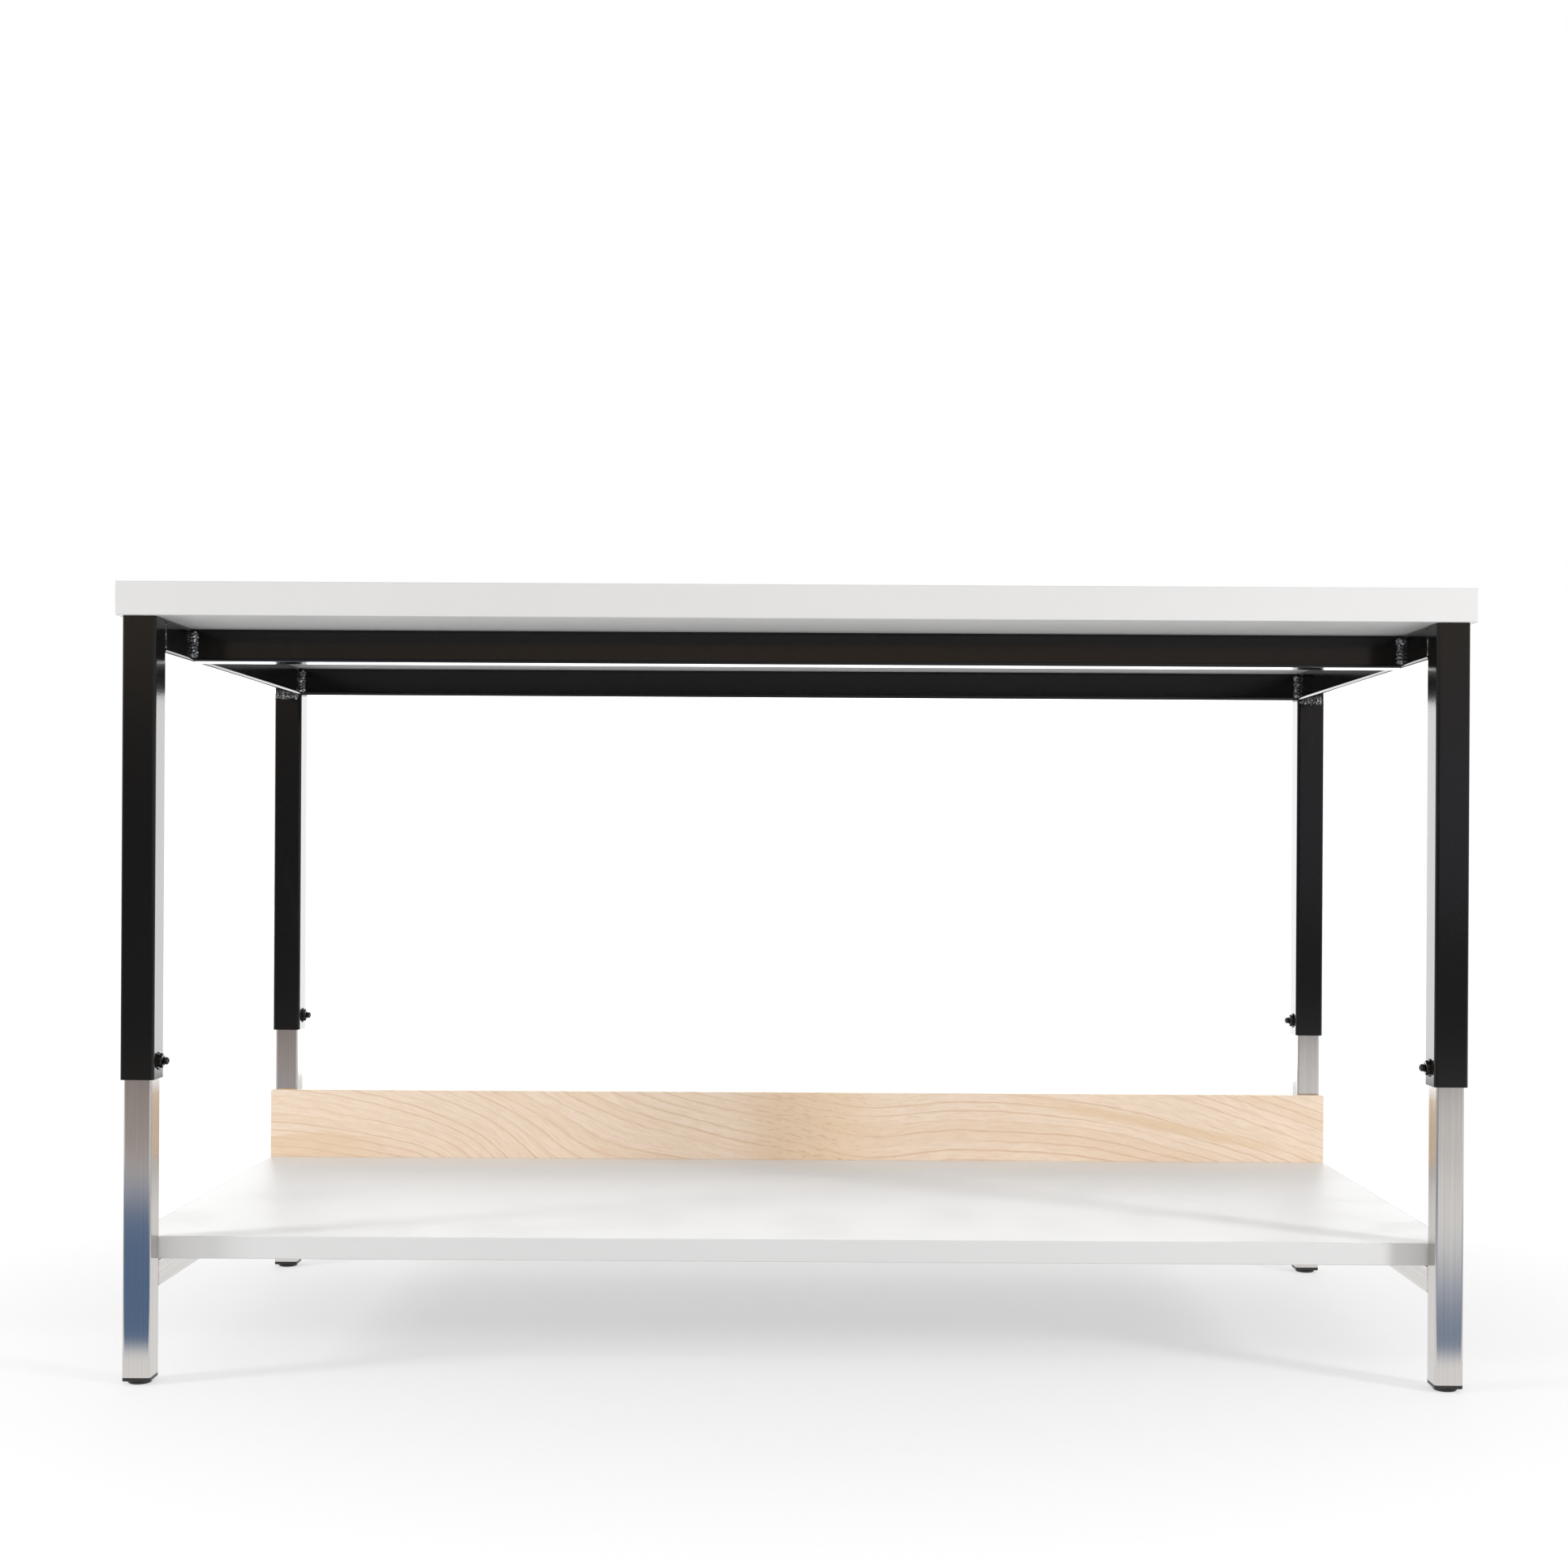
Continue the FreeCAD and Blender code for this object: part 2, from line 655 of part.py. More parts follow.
shelf_screw = wood_screw("ShelfScrew", "leg_width", "shelf_screw_bite")
shelf_screw_z = "low_rail_z - leg_width / 2"
group(
    "shelf_screws", shelf_screw,
    [(times(sign, "leg_x"), y, shelf_screw_z, UPRIGHT) for side, sign in SIDES for y in SIDE_SCREWS],
)
board_screw = wood_screw("BoardScrew", "leg_width", "board_screw_bite")
group(
    "back_board_screws", board_screw,
    [
        (times(sign, "leg_x"), "leg_y + leg_width / 2", height, AGAINST_Y)
        for side, sign in SIDES
        for height in board_screw_heights
    ],
)

# ---------------------------------------------------------------- feet


def foot_cap(corner):
    """A plastic cap: a flange under the leg and a plug inside it that holds the bush."""
    cap = new_body("FootCap" + corner.title().replace("_", ""))
    flange = sketch_on(cap, "XY_Plane")
    rectangle(flange, "leg_width", "leg_width")
    pad(cap, flange, "cap_flange")
    fillet(cap, square_corners("leg_width"), "leg_round")
    plug = sketch_on(cap, "XY_Plane", lift="cap_flange")
    rectangle(plug, "plug_width", "plug_width")
    pad(cap, plug, "cap_plug")
    fillet(cap, square_corners("plug_width"), "cap_round")
    drill(cap, "XY_Plane", [("0", "0")], "bush_bore + 2 * stud_gap")
    seat = sketch_on(cap, "XY_Plane", lift="cap_flange + cap_plug - bush_long")
    circle(seat, "0", "0", "bush_dia + 2 * nut_gap")
    cut_through(cap, seat, both_ways=False, other_way=True)
    return cap


cap_z = "pad_high + glide_gap"
for corner, x_sign, y_sign in CORNERS:
    cap = foot_cap(corner)
    place(cap, times(x_sign, "leg_x"), times(y_sign, "leg_y"), cap_z)
    keep(cap, "foot_cap_" + corner)

bush = new_body("FootBush")
bush_wall = [
    ("bush_bore / 2", "0"),
    ("bush_dia / 2", "0"),
    ("bush_dia / 2", "bush_long"),
    ("bush_bore / 2", "bush_long"),
]
turn_solid(bush, bush_wall)
bush_z = "leg_base + cap_plug - bush_long"
group(
    "foot_bushes", bush,
    [
        (times(x_sign, "leg_x"), times(y_sign, "leg_y"), bush_z, UPRIGHT)
        for corner, x_sign, y_sign in CORNERS
    ],
)


def glide_pad(corner):
    """A round plastic pad with a pocket that traps the stud's head."""
    body = new_body("GlidePad" + corner.title().replace("_", ""))
    radius, bore, room = "pad_dia / 2", "bush_bore / 2", "stud_head_dia / 2 + stud_gap"
    roof = "pad_high - pad_roof"
    corners = [
        ("0", "0"),
        (radius, "0"),
        (radius, "pad_high"),
        (bore, "pad_high"),
        (bore, roof),
        (room, roof),
        (room, "pad_floor"),
        ("0", "pad_floor"),
    ]
    turn_solid(body, corners)
    fillet(body, ring_at(value_of(radius), 0), "pad_round")
    return body


def glide_stud(corner):
    """A threaded stud with a flat head, at the thread's outer diameter."""
    body = new_body("GlideStud" + corner.title().replace("_", ""))
    radius, head = "stud_dia / 2", "stud_head_dia / 2"
    head_low, head_top = "pad_floor + stud_gap", "pad_high - pad_roof - stud_gap"
    corners = [
        ("0", head_low),
        (head, head_low),
        (head, head_top),
        (radius, head_top),
        (radius, "stud_long - thread_chamfer"),
        (f"{radius} - thread_chamfer", "stud_long"),
        ("0", "stud_long"),
    ]
    turn_solid(body, corners)
    return body


for corner, x_sign, y_sign in CORNERS:
    for make, stem in ((glide_pad, "glide_pad_"), (glide_stud, "glide_stud_")):
        piece = make(corner)
        place(piece, times(x_sign, "leg_x"), times(y_sign, "leg_y"), "0")
        keep(piece, stem + corner)

# ---------------------------------------------------------------- upper frame

for corner, x_sign, y_sign in CORNERS:
    name = "Sleeve" + corner.title().replace("_", "")
    rounds = ("sleeve_round", "sleeve_inner_round")
    sleeve = tube(name, "sleeve_width", "sleeve_bore", "sleeve_long", *rounds)
    inner_wall_hole(sleeve, "lock_edge", x_sign)
    place(sleeve, times(x_sign, "leg_x"), times(y_sign, "leg_y"), "sleeve_bottom")
    keep(sleeve, "upper_leg_" + corner)

RAIL_TUBE = ("rail_width", "rail_width - 2 * rail_wall")
RAIL_ROUNDS = ("rail_round", "rail_inner_round")

for side, sign in SIDES:
    rail = tube("SideRail" + side.title(), *RAIL_TUBE, "side_rail_long", *RAIL_ROUNDS)
    place(rail, times(sign, "leg_x"), "-side_rail_long / 2", "rail_z", ALONG_Y)
    keep(rail, "upper_side_rail_" + side)

for end, length, y in (
    ("front", "front_rail_long", "front_rail_y"),
    ("rear", "rear_rail_long", "leg_y"),
):
    rail = tube("CrossRail" + end.title(), *RAIL_TUBE, length, *RAIL_ROUNDS)
    centres = [("0", f"{length} / 2 + {x}") for x in CROSS_SCREWS]
    screw_holes(rail, "YZ_Plane", "rail_width / 2", centres, other_way=False)
    place(rail, f"-{length} / 2", y, "rail_z", ALONG_X)
    keep(rail, "upper_rail_" + end)
    doc.recompute()
    below = Vector(value_of("screw_head_dia / 2"), value_of(y),
                   value_of("rail_z - rail_width / 2 + nut_gap"))
    check_open(rail, below)


def fillet_weld(name, length):
    """A fillet weld along Z whose two legs lie along +X and +Y."""
    body = new_body(name)
    sketch = sketch_on(body, "XY_Plane")
    outline(sketch, [("0", "0"), ("weld_leg", "0"), ("0", "weld_leg")])
    pad(body, sketch, length)
    return body


bead_long = "rail_width - 2 * rail_round"
bead = fillet_weld("Bead", bead_long)
bead_z = "top_under - rail_width + rail_round"
rail_face = "leg_x - rail_width / 2"
front_face, rear_face = "front_rail_y - rail_width / 2", "front_rail_y + rail_width / 2"
group(
    "cross_rail_welds", bead,
    [
        (times("-1", rail_face), front_face, bead_z, Rotation(Z_AXIS, 270)),
        (rail_face, front_face, bead_z, Rotation(Z_AXIS, 180)),
        (times("-1", rail_face), rear_face, bead_z, UPRIGHT),
        (rail_face, rear_face, bead_z, Rotation(Z_AXIS, 90)),
        ("sleeve_width / 2 - leg_x", "leg_y - rail_width / 2", bead_z, Rotation(Z_AXIS, 270)),
        ("leg_x - sleeve_width / 2", "leg_y - rail_width / 2", bead_z, Rotation(Z_AXIS, 180)),
    ],
)

under_rail = "top_under - rail_width"
leg_face = "leg_y - sleeve_width / 2"
half_bead = f"({bead_long}) / 2"
facing_back = Rotation(Z_AXIS, 180).multiply(ALONG_X)
high_groove = groove_weld("HighGroove", "sleeve_round", bead_long)
under_places = []
for side, sign in SIDES:
    middle = times(sign, "leg_x")
    front_start, rear_start = f"{middle} - {half_bead}", f"{middle} + {half_bead}"
    under_places.append((front_start, times("-1", leg_face), under_rail, ALONG_X))
    under_places.append((rear_start, leg_face, under_rail, facing_back))
group("side_rail_under_welds", bead, under_places)
group("side_rail_face_welds", high_groove, groove_places("sleeve_width", bead_z))

top_screw = wood_screw("TopScrew", "rail_width", "top_screw_bite")
group(
    "tabletop_screws", top_screw,
    [(x, y, under_rail, UPRIGHT) for x, y in top_screws],
)

# ---------------------------------------------------------------- lock screws


def lock_screw():
    """A headless screw along Z through its nut, which stands on the screw's origin plane."""
    body = new_body("LockScrew")
    radius = "lock_dia / 2"
    tip = "sleeve_wall + leg_clearance + leg_wall + lock_reach"
    length = "nut_high + lock_end"
    corners = [
        ("0", f"-({tip})"),
        (f"{radius} - thread_chamfer", f"-({tip})"),
        (radius, f"thread_chamfer - ({tip})"),
        (radius, f"{length} - thread_chamfer"),
        (f"{radius} - thread_chamfer", length),
        ("0", length),
    ]
    turn_solid(body, corners)
    socket = sketch_on(body, "XY_Plane", lift=f"{length} - socket_deep")
    hexagon(socket, "socket_flats")
    cut_through(body, socket, both_ways=False, other_way=True)
    return body


def lock_nut():
    """A thin hexagon nut along Z, standing on its origin plane, its outer corners bevelled."""
    body = new_body("LockNut")
    flats = sketch_on(body, "XY_Plane")
    hexagon(flats, "nut_flats")
    pad(body, flats, "nut_high")
    drill(body, "XY_Plane", [("0", "0")], "lock_dia + 2 * nut_gap")
    waist, corner = "nut_flats / 2", "nut_flats / sqrt(3) + nut_gap"
    shoulder = sketch_on(body, "XZ_Plane")
    above = [
        (waist, "nut_high + nut_gap"),
        (corner, "nut_high + nut_gap"),
        (corner, f"nut_high - ({corner} - {waist}) * nut_chamfer"),
    ]
    outline(shoulder, above)
    before = body.Shape.Volume
    groove = body.newObject("PartDesign::Groove", "LockNutGroove")
    groove.Profile = shoulder
    groove.ReferenceAxis = (shoulder, ["V_Axis"])
    groove.Angle = 360
    doc.recompute()
    if body.Shape.Volume > before - TOUCH:
        raise RuntimeError("LockNut: the groove cut nothing")
    return body


def tack_weld():
    """The weld round a lock nut's corner at +X, on the plane that the nut stands on."""
    body = new_body("TackWeld")
    sketch = sketch_on(body, "XZ_Plane")
    inside, corner = "nut_flats / 2", "nut_flats / sqrt(3)"
    slope = [
        (inside, "0"),
        (f"{corner} + tack_leg", "0"),
        (inside, f"tack_leg + {corner} - {inside}"),
    ]
    outline(sketch, slope)
    feature = body.newObject("PartDesign::Revolution", "TackWeldRevolution")
    feature.Profile = sketch
    feature.ReferenceAxis = (sketch, ["V_Axis"])
    feature.Midplane = True
    bind(feature, "Angle", "tack_turn")
    doc.recompute()
    flats = sketch_on(body, "XY_Plane")
    hexagon(flats, "nut_flats")
    cut_through(body, flats)
    return body


inner_face = "leg_x - sleeve_width / 2"
lock_places = []
for corner, x_sign, y_sign in CORNERS:
    inwards = ALONG_X if x_sign == "-1" else AGAINST_X
    lock_places.append((times(x_sign, inner_face), times(y_sign, "leg_y"), "lock_z", inwards))
group("lock_screws", lock_screw(), lock_places)
group("lock_nuts", lock_nut(), lock_places)
group(
    "lock_nut_welds", tack_weld(),
    [
        (x, y, z, inwards.multiply(Rotation(Z_AXIS, turn)))
        for x, y, z, inwards in lock_places
        for turn in (0, 180)
    ],
)

# ---------------------------------------------------------------- check and write

doc.recompute()
for item in doc.Objects:
    if "Invalid" in item.State or "Error" in item.State:
        raise RuntimeError(f"{item.Name} ({item.Label}) did not build: {item.State}")
for node in nodes:
    if node.Shape.isNull() or not node.Shape.isValid() or not node.Shape.Solids:
        raise RuntimeError(f"{node.Label} has no valid solid")

os.makedirs("parts", exist_ok=True)
for node in nodes:
    node.Shape.exportStep(f"parts/{node.Label}.step")
print(f"{len(nodes)} nodes written")
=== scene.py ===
"""Assembly table: finishes, welds, fixings and feet around the fixed solid model, in a studio.

Lengths are in metres. X runs along the worktop, -Y is the front, Z is up and the floor is Z = 0.
"""

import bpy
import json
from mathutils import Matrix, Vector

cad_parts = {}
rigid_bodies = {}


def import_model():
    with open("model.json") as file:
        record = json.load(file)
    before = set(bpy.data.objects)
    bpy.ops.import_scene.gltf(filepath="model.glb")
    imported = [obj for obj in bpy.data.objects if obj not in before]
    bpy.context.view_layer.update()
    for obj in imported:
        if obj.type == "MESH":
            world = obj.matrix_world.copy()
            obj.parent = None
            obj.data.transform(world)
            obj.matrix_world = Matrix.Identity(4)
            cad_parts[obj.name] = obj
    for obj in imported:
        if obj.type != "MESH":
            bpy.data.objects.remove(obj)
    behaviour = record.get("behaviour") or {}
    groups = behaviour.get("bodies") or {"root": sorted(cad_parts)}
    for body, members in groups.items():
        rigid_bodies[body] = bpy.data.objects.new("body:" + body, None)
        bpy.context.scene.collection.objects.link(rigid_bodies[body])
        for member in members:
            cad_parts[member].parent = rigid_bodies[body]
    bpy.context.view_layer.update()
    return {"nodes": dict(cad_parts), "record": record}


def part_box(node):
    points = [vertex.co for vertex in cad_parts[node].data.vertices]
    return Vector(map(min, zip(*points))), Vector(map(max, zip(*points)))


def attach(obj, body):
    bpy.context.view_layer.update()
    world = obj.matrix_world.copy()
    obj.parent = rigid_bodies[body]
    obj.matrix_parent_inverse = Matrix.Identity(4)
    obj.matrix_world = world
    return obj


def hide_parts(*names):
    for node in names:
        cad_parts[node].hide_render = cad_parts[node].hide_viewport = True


bl_info = {
    "name": "Assembly Table",
    "version": (1, 0, 0),
    "blender": (4, 5, 0),
    "location": "View3D > Sidebar > Assembly Table",
    "description": "Finishes, welds, fixings and feet of a height-adjustable assembly table",
    "category": "Object",
}

import json
import math
import random

import bmesh
import bpy
from bpy.props import FloatProperty, FloatVectorProperty, PointerProperty
from mathutils import Euler, Matrix, Vector

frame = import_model()

MM = 0.001
FLAT = 0.001 * MM
WHITE = (1.0, 1.0, 1.0)
SENSOR_WIDTH = 36.0
SIDES = ("left", "right")
ENDS = ("front", "rear")
CORNERS = [f"{end}_{side}" for end in ENDS for side in SIDES]


# ---------------------------------------------------------------- sizes and colours


def length(default, name, description):
    return FloatProperty(
        name=name, description=description, default=default, precision=5, unit="LENGTH"
    )


def number(default, name, description):
    return FloatProperty(name=name, description=description, default=default, precision=4)


def place(default, name, description):
    return FloatVectorProperty(
        name=name, description=description, default=default, subtype="XYZ", unit="LENGTH"
    )


def colour(default, name, description):
    return FloatVectorProperty(
        name=name, description=description, default=default, subtype="COLOR", min=0, max=1
    )


class StudioSettings(bpy.types.PropertyGroup):
    """Camera, lamps and floor."""

    camera_place: place((0.0172, -2.6596, 0.601), "Camera place", "Where the camera stands")
    camera_lens: number(47.365, "Lens", "Focal length in millimetres on a 36 mm sensor")
    camera_roll: number(-0.322, "Roll", "Roll of the camera in degrees")
    camera_yaw: number(0.046, "Yaw", "Turn of the camera from the +Y axis in degrees")
    camera_shift_x: number(-0.01585, "Shift X", "Sideways shift of the lens")
    camera_shift_y: number(0.04438, "Shift Y", "Upward shift of the lens")
    floor_size: length(40.0, "Floor", "Side of the floor")
    floor_colour: colour((0.88, 0.88, 0.885), "Floor colour", "Pale studio floor")
    floor_glow: number(0.43, "Floor glow", "Share of plain white that the camera sees")
    floor_white: number(1.1, "Floor white", "Strength of that plain white near the table")
    left_lamp_place: place((-3.1, -1.3, 1.2), "Left lamp", "Place of the left softbox")
    right_lamp_place: place((3.1, -2.1, 1.2), "Right lamp", "Place of the right softbox")
    lamp_size: length(0.45, "Lamp size", "Side of the softboxes")
    left_lamp_power: number(40.0, "Left lamp power", "Power of the left softbox in watts")
    right_lamp_power: number(60.0, "Right lamp power", "Power of the right softbox in watts")
    sky: number(0.63, "Sky", "Strength of the even light from all round")
    back_panel_y: length(3.0, "Back panel", "Distance of the lit panel behind the table")
    back_panel_wide: length(4.2, "Back panel width", "Width of the lit panel")
    back_panel_high: length(2.4, "Back panel height", "Height of the lit panel")
    back_panel_power: number(74.0, "Back panel lamp", "Power of the lit panel in watts")
    dark_room: colour((0.13, 0.13, 0.14), "Dark room", "Unlit room that gloss shows in front")
    warm_room: colour((0.80, 0.62, 0.47), "Warm room", "Its warmer upper part")
    warm_middle: colour((1.0, 0.74, 0.53), "Middle of the warm room", "Brighter middle of it")
    right_room: colour((0.62, 0.62, 0.74), "Right of the room", "Its lighter right side")
    front_floor: colour((0.42, 0.36, 0.33), "Front floor", "Floor of the room in front")
    blue_floor: colour((0.068, 0.155, 0.32), "Blue floor", "Blue groundsheets before the feet")


class FinishSettings(bpy.types.PropertyGroup):
    """Colours of the table's finishes."""

    laminate: colour((0.87, 0.87, 0.865), "Laminate", "White laminate faces")
    band: colour((0.745, 0.74, 0.735), "Edge band", "White edge bands")
    backing: colour((0.74, 0.74, 0.735), "Backing", "Backing sheets under the panels")
    board_core: colour((0.50, 0.36, 0.22), "Particle board", "Cores of the panels")
    maple: colour((0.905, 0.745, 0.60), "Maple", "Pale wood between the growth rings")
    maple_line: colour((0.72, 0.50, 0.33), "Maple line", "Late wood in the growth rings")
    maple_amber: colour((0.80, 0.60, 0.40), "Maple amber", "Broad warm bands and stains")
    maple_fleck: colour((0.16, 0.07, 0.05), "Maple fleck", "Pin knots")
    paint: colour((0.0062, 0.0060, 0.0058), "Paint", "Black paint of the upper frame")
    # colour of the painted highlights on the welds: near-white spots that stand in for their glints
    painted_glint_colour: colour((0.94, 0.96, 1.0), "Bare crest", "Metal showing on the welds' crests")
    steel: colour((0.645, 0.622, 0.600), "Steel", "Brushed steel of the lower frame")
    dark_steel: colour((0.05, 0.05, 0.052), "Dark steel", "Black plated lock screws and nuts")
    zinc: colour((0.62, 0.63, 0.65), "Zinc", "Bright zinc plating")
    plastic: colour((0.011, 0.011, 0.012), "Plastic", "Black plastic of the feet")


class DetailSettings(bpy.types.PropertyGroup):
    """Sizes of the small parts' details."""

    bead_leg: length(5.9 * MM, "Bead leg", "Leg of a fillet weld")
    bead_ripple: length(4.3 * MM, "Bead ripple", "Step between a weld's ripples")
    tack_ripple: length(2.1 * MM, "Tack ripple", "Step between a tack weld's ripples")
    groove_round: length(4.0 * MM, "Sleeve corner", "Corner radius of the sleeves")
    low_groove_round: length(3.2 * MM, "Leg corner", "Corner radius of the lower legs")
    lock_radius: length(4.7625 * MM, "Lock screw radius", "Headless lock screw")
    lock_end: length(5.6 * MM, "Lock screw end", "Lock screw standing out of its nut")
    lock_pitch: length(1.5875 * MM, "Lock screw pitch", "Thread of the lock screws")
    socket_flats: length(4.76 * MM, "Socket", "Hexagon socket across its flats")
    socket_deep: length(4.6 * MM, "Socket depth", "Hexagon socket")
    nut_flats: length(14.3 * MM, "Nut flats", "Lock nut across its flats")
    nut_high: length(5.6 * MM, "Nut height", "Lock nut")
    stud_radius: length(3.95 * MM, "Stud radius", "Glide stud")
    stud_pitch: length(1.4111 * MM, "Stud pitch", "Thread of the glide studs")
    screw_radius: length(2.4 * MM, "Wood screw radius", "Outside of a wood screw's thread")
    screw_head_radius: length(4.5 * MM, "Wood screw head", "Flat head of a wood screw")
    screw_pitch: length(2.2 * MM, "Wood screw pitch", "Thread of a wood screw")


def studio():
    return bpy.context.scene.table_studio


def finishes():
    return bpy.context.scene.table_finishes


def details():
    return bpy.context.scene.table_details


# ---------------------------------------------------------------- shader maths


class Value:
    """A shader socket that takes arithmetic; each step adds a Math node."""

    def __init__(self, nodes, socket):
        self.nodes = nodes
        self.socket = socket

    def math(self, operation, *others):
        return self.nodes.math(operation, self, *others)

    def __add__(self, other):
        return self.math("ADD", other)

    __radd__ = __add__

    def __mul__(self, other):
        return self.math("MULTIPLY", other)

    __rmul__ = __mul__

    def __sub__(self, other):
        return self.math("SUBTRACT", other)

    def __rsub__(self, other):
        return self.nodes.math("SUBTRACT", other, self)

    def __pow__(self, other):
        return self.math("POWER", other)

    def __gt__(self, other):
        return self.math("GREATER_THAN", other)


class Nodes:
    """A node tree under construction."""

    def __init__(self, tree):
        self.tree = tree

    def add(self, kind, settings=None, inputs=None):
        """A node with its settings set first, then its sockets given values or links."""
        node = self.tree.nodes.new(kind)
        for key, value in (settings or {}).items():
            setattr(node, key, value)
        for key, value in (inputs or {}).items():
            self.feed(node.inputs[key], value)
        return node

    def feed(self, socket, value):
        if isinstance(value, Value):
            self.tree.links.new(value.socket, socket)
        elif isinstance(value, (float, int)) or len(value) == len(socket.default_value):
            socket.default_value = value
        else:
            socket.default_value = (*value, 1)

    def out(self, node, name=0):
        return Value(self, node.outputs[name])

    def math(self, operation, *values):
        node = self.add("ShaderNodeMath", {"operation": operation}, dict(enumerate(values)))
        return self.out(node)

    def vector(self, operation, *values):
        node = self.add("ShaderNodeVectorMath", {"operation": operation}, dict(enumerate(values)))
        return self.out(node)

    def mix(self, factor, first, second):
        """Two colours mixed."""
        node = self.add("ShaderNodeMix", {"data_type": "RGBA"}, {"Factor": factor})
        self.feed(node.inputs[6], first)
        self.feed(node.inputs[7], second)
        return self.out(node, 2)

    def place(self, scale=(1, 1, 1)):
        """Object coordinates, stretched."""
        where = self.out(self.add("ShaderNodeTexCoord"), "Object")
        return self.vector("MULTIPLY", where, scale)

    def axes(self, vector):
        split = self.add("ShaderNodeSeparateXYZ", None, {0: vector})
        return [self.out(split, axis) for axis in "XYZ"]

    def join(self, x, y, z):
        return self.out(self.add("ShaderNodeCombineXYZ", None, {0: x, 1: y, 2: z}))

    def noise(self, vector, scale, detail=2.0, roughness=0.5):
        inputs = {"Vector": vector, "Scale": scale, "Detail": detail, "Roughness": roughness}
        return self.out(self.add("ShaderNodeTexNoise", None, inputs), "Fac")

    def grain(self, x, y, z, detail=2.0, roughness=0.5):
        """Noise over coordinates that are stretched one by one."""
        return self.noise(self.join(x, y, z), 1.0, detail, roughness)

    def streaks(self, scale, detail, roughness=0.5):
        """Noise over stretched object coordinates."""
        return self.noise(self.place(scale), 1.0, detail, roughness)

    def cells(self, vector, scale):
        return self.add("ShaderNodeTexVoronoi", None, {"Vector": vector, "Scale": scale})

    def smooth(self, value, low, high):
        """0 below low, 1 above high, and a soft step between."""
        settings = {"interpolation_type": "SMOOTHSTEP"}
        inputs = {"Value": value, "From Min": low, "From Max": high}
        return self.out(self.add("ShaderNodeMapRange", settings, inputs))

    def within(self, value, rise, fall):
        """1 between two soft steps, each given by its low and high ends."""
        return self.smooth(value, *rise) * (1 - self.smooth(value, *fall))

    def glow(self, colour, strength):
        inputs = {"Color": colour, "Strength": strength}
        return self.out(self.add("ShaderNodeEmission", None, inputs))

    def blend(self, factor, first, second):
        """Two shaders mixed."""
        return self.out(self.add("ShaderNodeMixShader", None, {0: factor, 1: first, 2: second}))

    def rays(self, *kinds):
        """1 for a ray of any of these kinds."""
        path = self.add("ShaderNodeLightPath")
        total = sum(self.out(path, f"Is {kind} Ray") for kind in kinds)
        return total.math("MINIMUM", 1.0)


class Finish(Nodes):
    """A material on one Principled shader."""

    def __init__(self, name, **constants):
        self.material = bpy.data.materials.new(name + "_finish")
        self.material.use_nodes = True
        super().__init__(self.material.node_tree)
        self.shader = self.tree.nodes["Principled BSDF"]
        self.set(**constants)

    def set(self, **values):
        """Feed the shader's sockets, named in lower case with underscores."""
        for key, value in values.items():
            name = key.replace("_", " ").title().replace("Ior", "IOR")
            self.feed(self.shader.inputs[name], value)

    def bump(self, height, depth):
        """Relief from a height of 0 to 1 and its depth in metres."""
        inputs = {"Height": height, "Distance": depth, "Strength": 1.0}
        self.set(normal=self.out(self.add("ShaderNodeBump", None, inputs)))


def find_finish(name):
    return bpy.data.materials[name + "_finish"]


def tinted(shade, factor):
    """A colour made lighter or darker."""
    return tuple(min(1.0, factor * part) for part in shade)


def raised(shade, amount):
    """A colour with some grey added."""
    return tuple(min(1.0, part + amount) for part in shade)


# ---------------------------------------------------------------- finishes


def white_laminate(name, shade):
    """Satin laminate with a fine pebble and a trace of handling."""
    made = Finish(name, ior=1.4)
    where = made.place()
    pebble = made.noise(where, 1400.0, 3.0, 0.6)
    cloud = made.noise(where, 2.2, 3.0, 0.55)
    dust = made.noise(where, 9.0, 5.0, 0.65)
    tone = made.mix(made.smooth(cloud, 0.3, 0.7), shade, tinted(shade, 0.975))
    made.set(base_color=tone)
    made.set(roughness=0.44 + 0.07 * pebble + 0.10 * made.smooth(dust, 0.45, 0.75))
    made.bump(pebble, 0.00004)


def backing_sheet(name, shade):
    """Satin paper-faced sheet."""
    made = Finish(name, ior=1.5)
    where = made.place()
    fibre = made.streaks((90, 420, 90), 3.0, 0.6)
    cloud = made.noise(where, 3.0, 3.0)
    made.set(base_color=made.mix(fibre, shade, tinted(shade, 0.94)))
    made.set(roughness=0.30 + 0.12 * cloud)
    made.bump(fibre, 0.00003)


def particle_board(name, shade):
    """Pressed wood chips."""
    made = Finish(name, ior=1.45, roughness=0.85)
    chips = made.cells(made.place((1, 1, 2.4)), 260.0)
    tint = made.axes(made.out(chips, "Color"))[0]
    dark = tinted(shade, 0.45)
    pale = tinted(shade, 1.35)
    made.set(base_color=made.mix(tint, dark, pale))
    made.bump(made.out(chips, "Distance"), 0.0006)


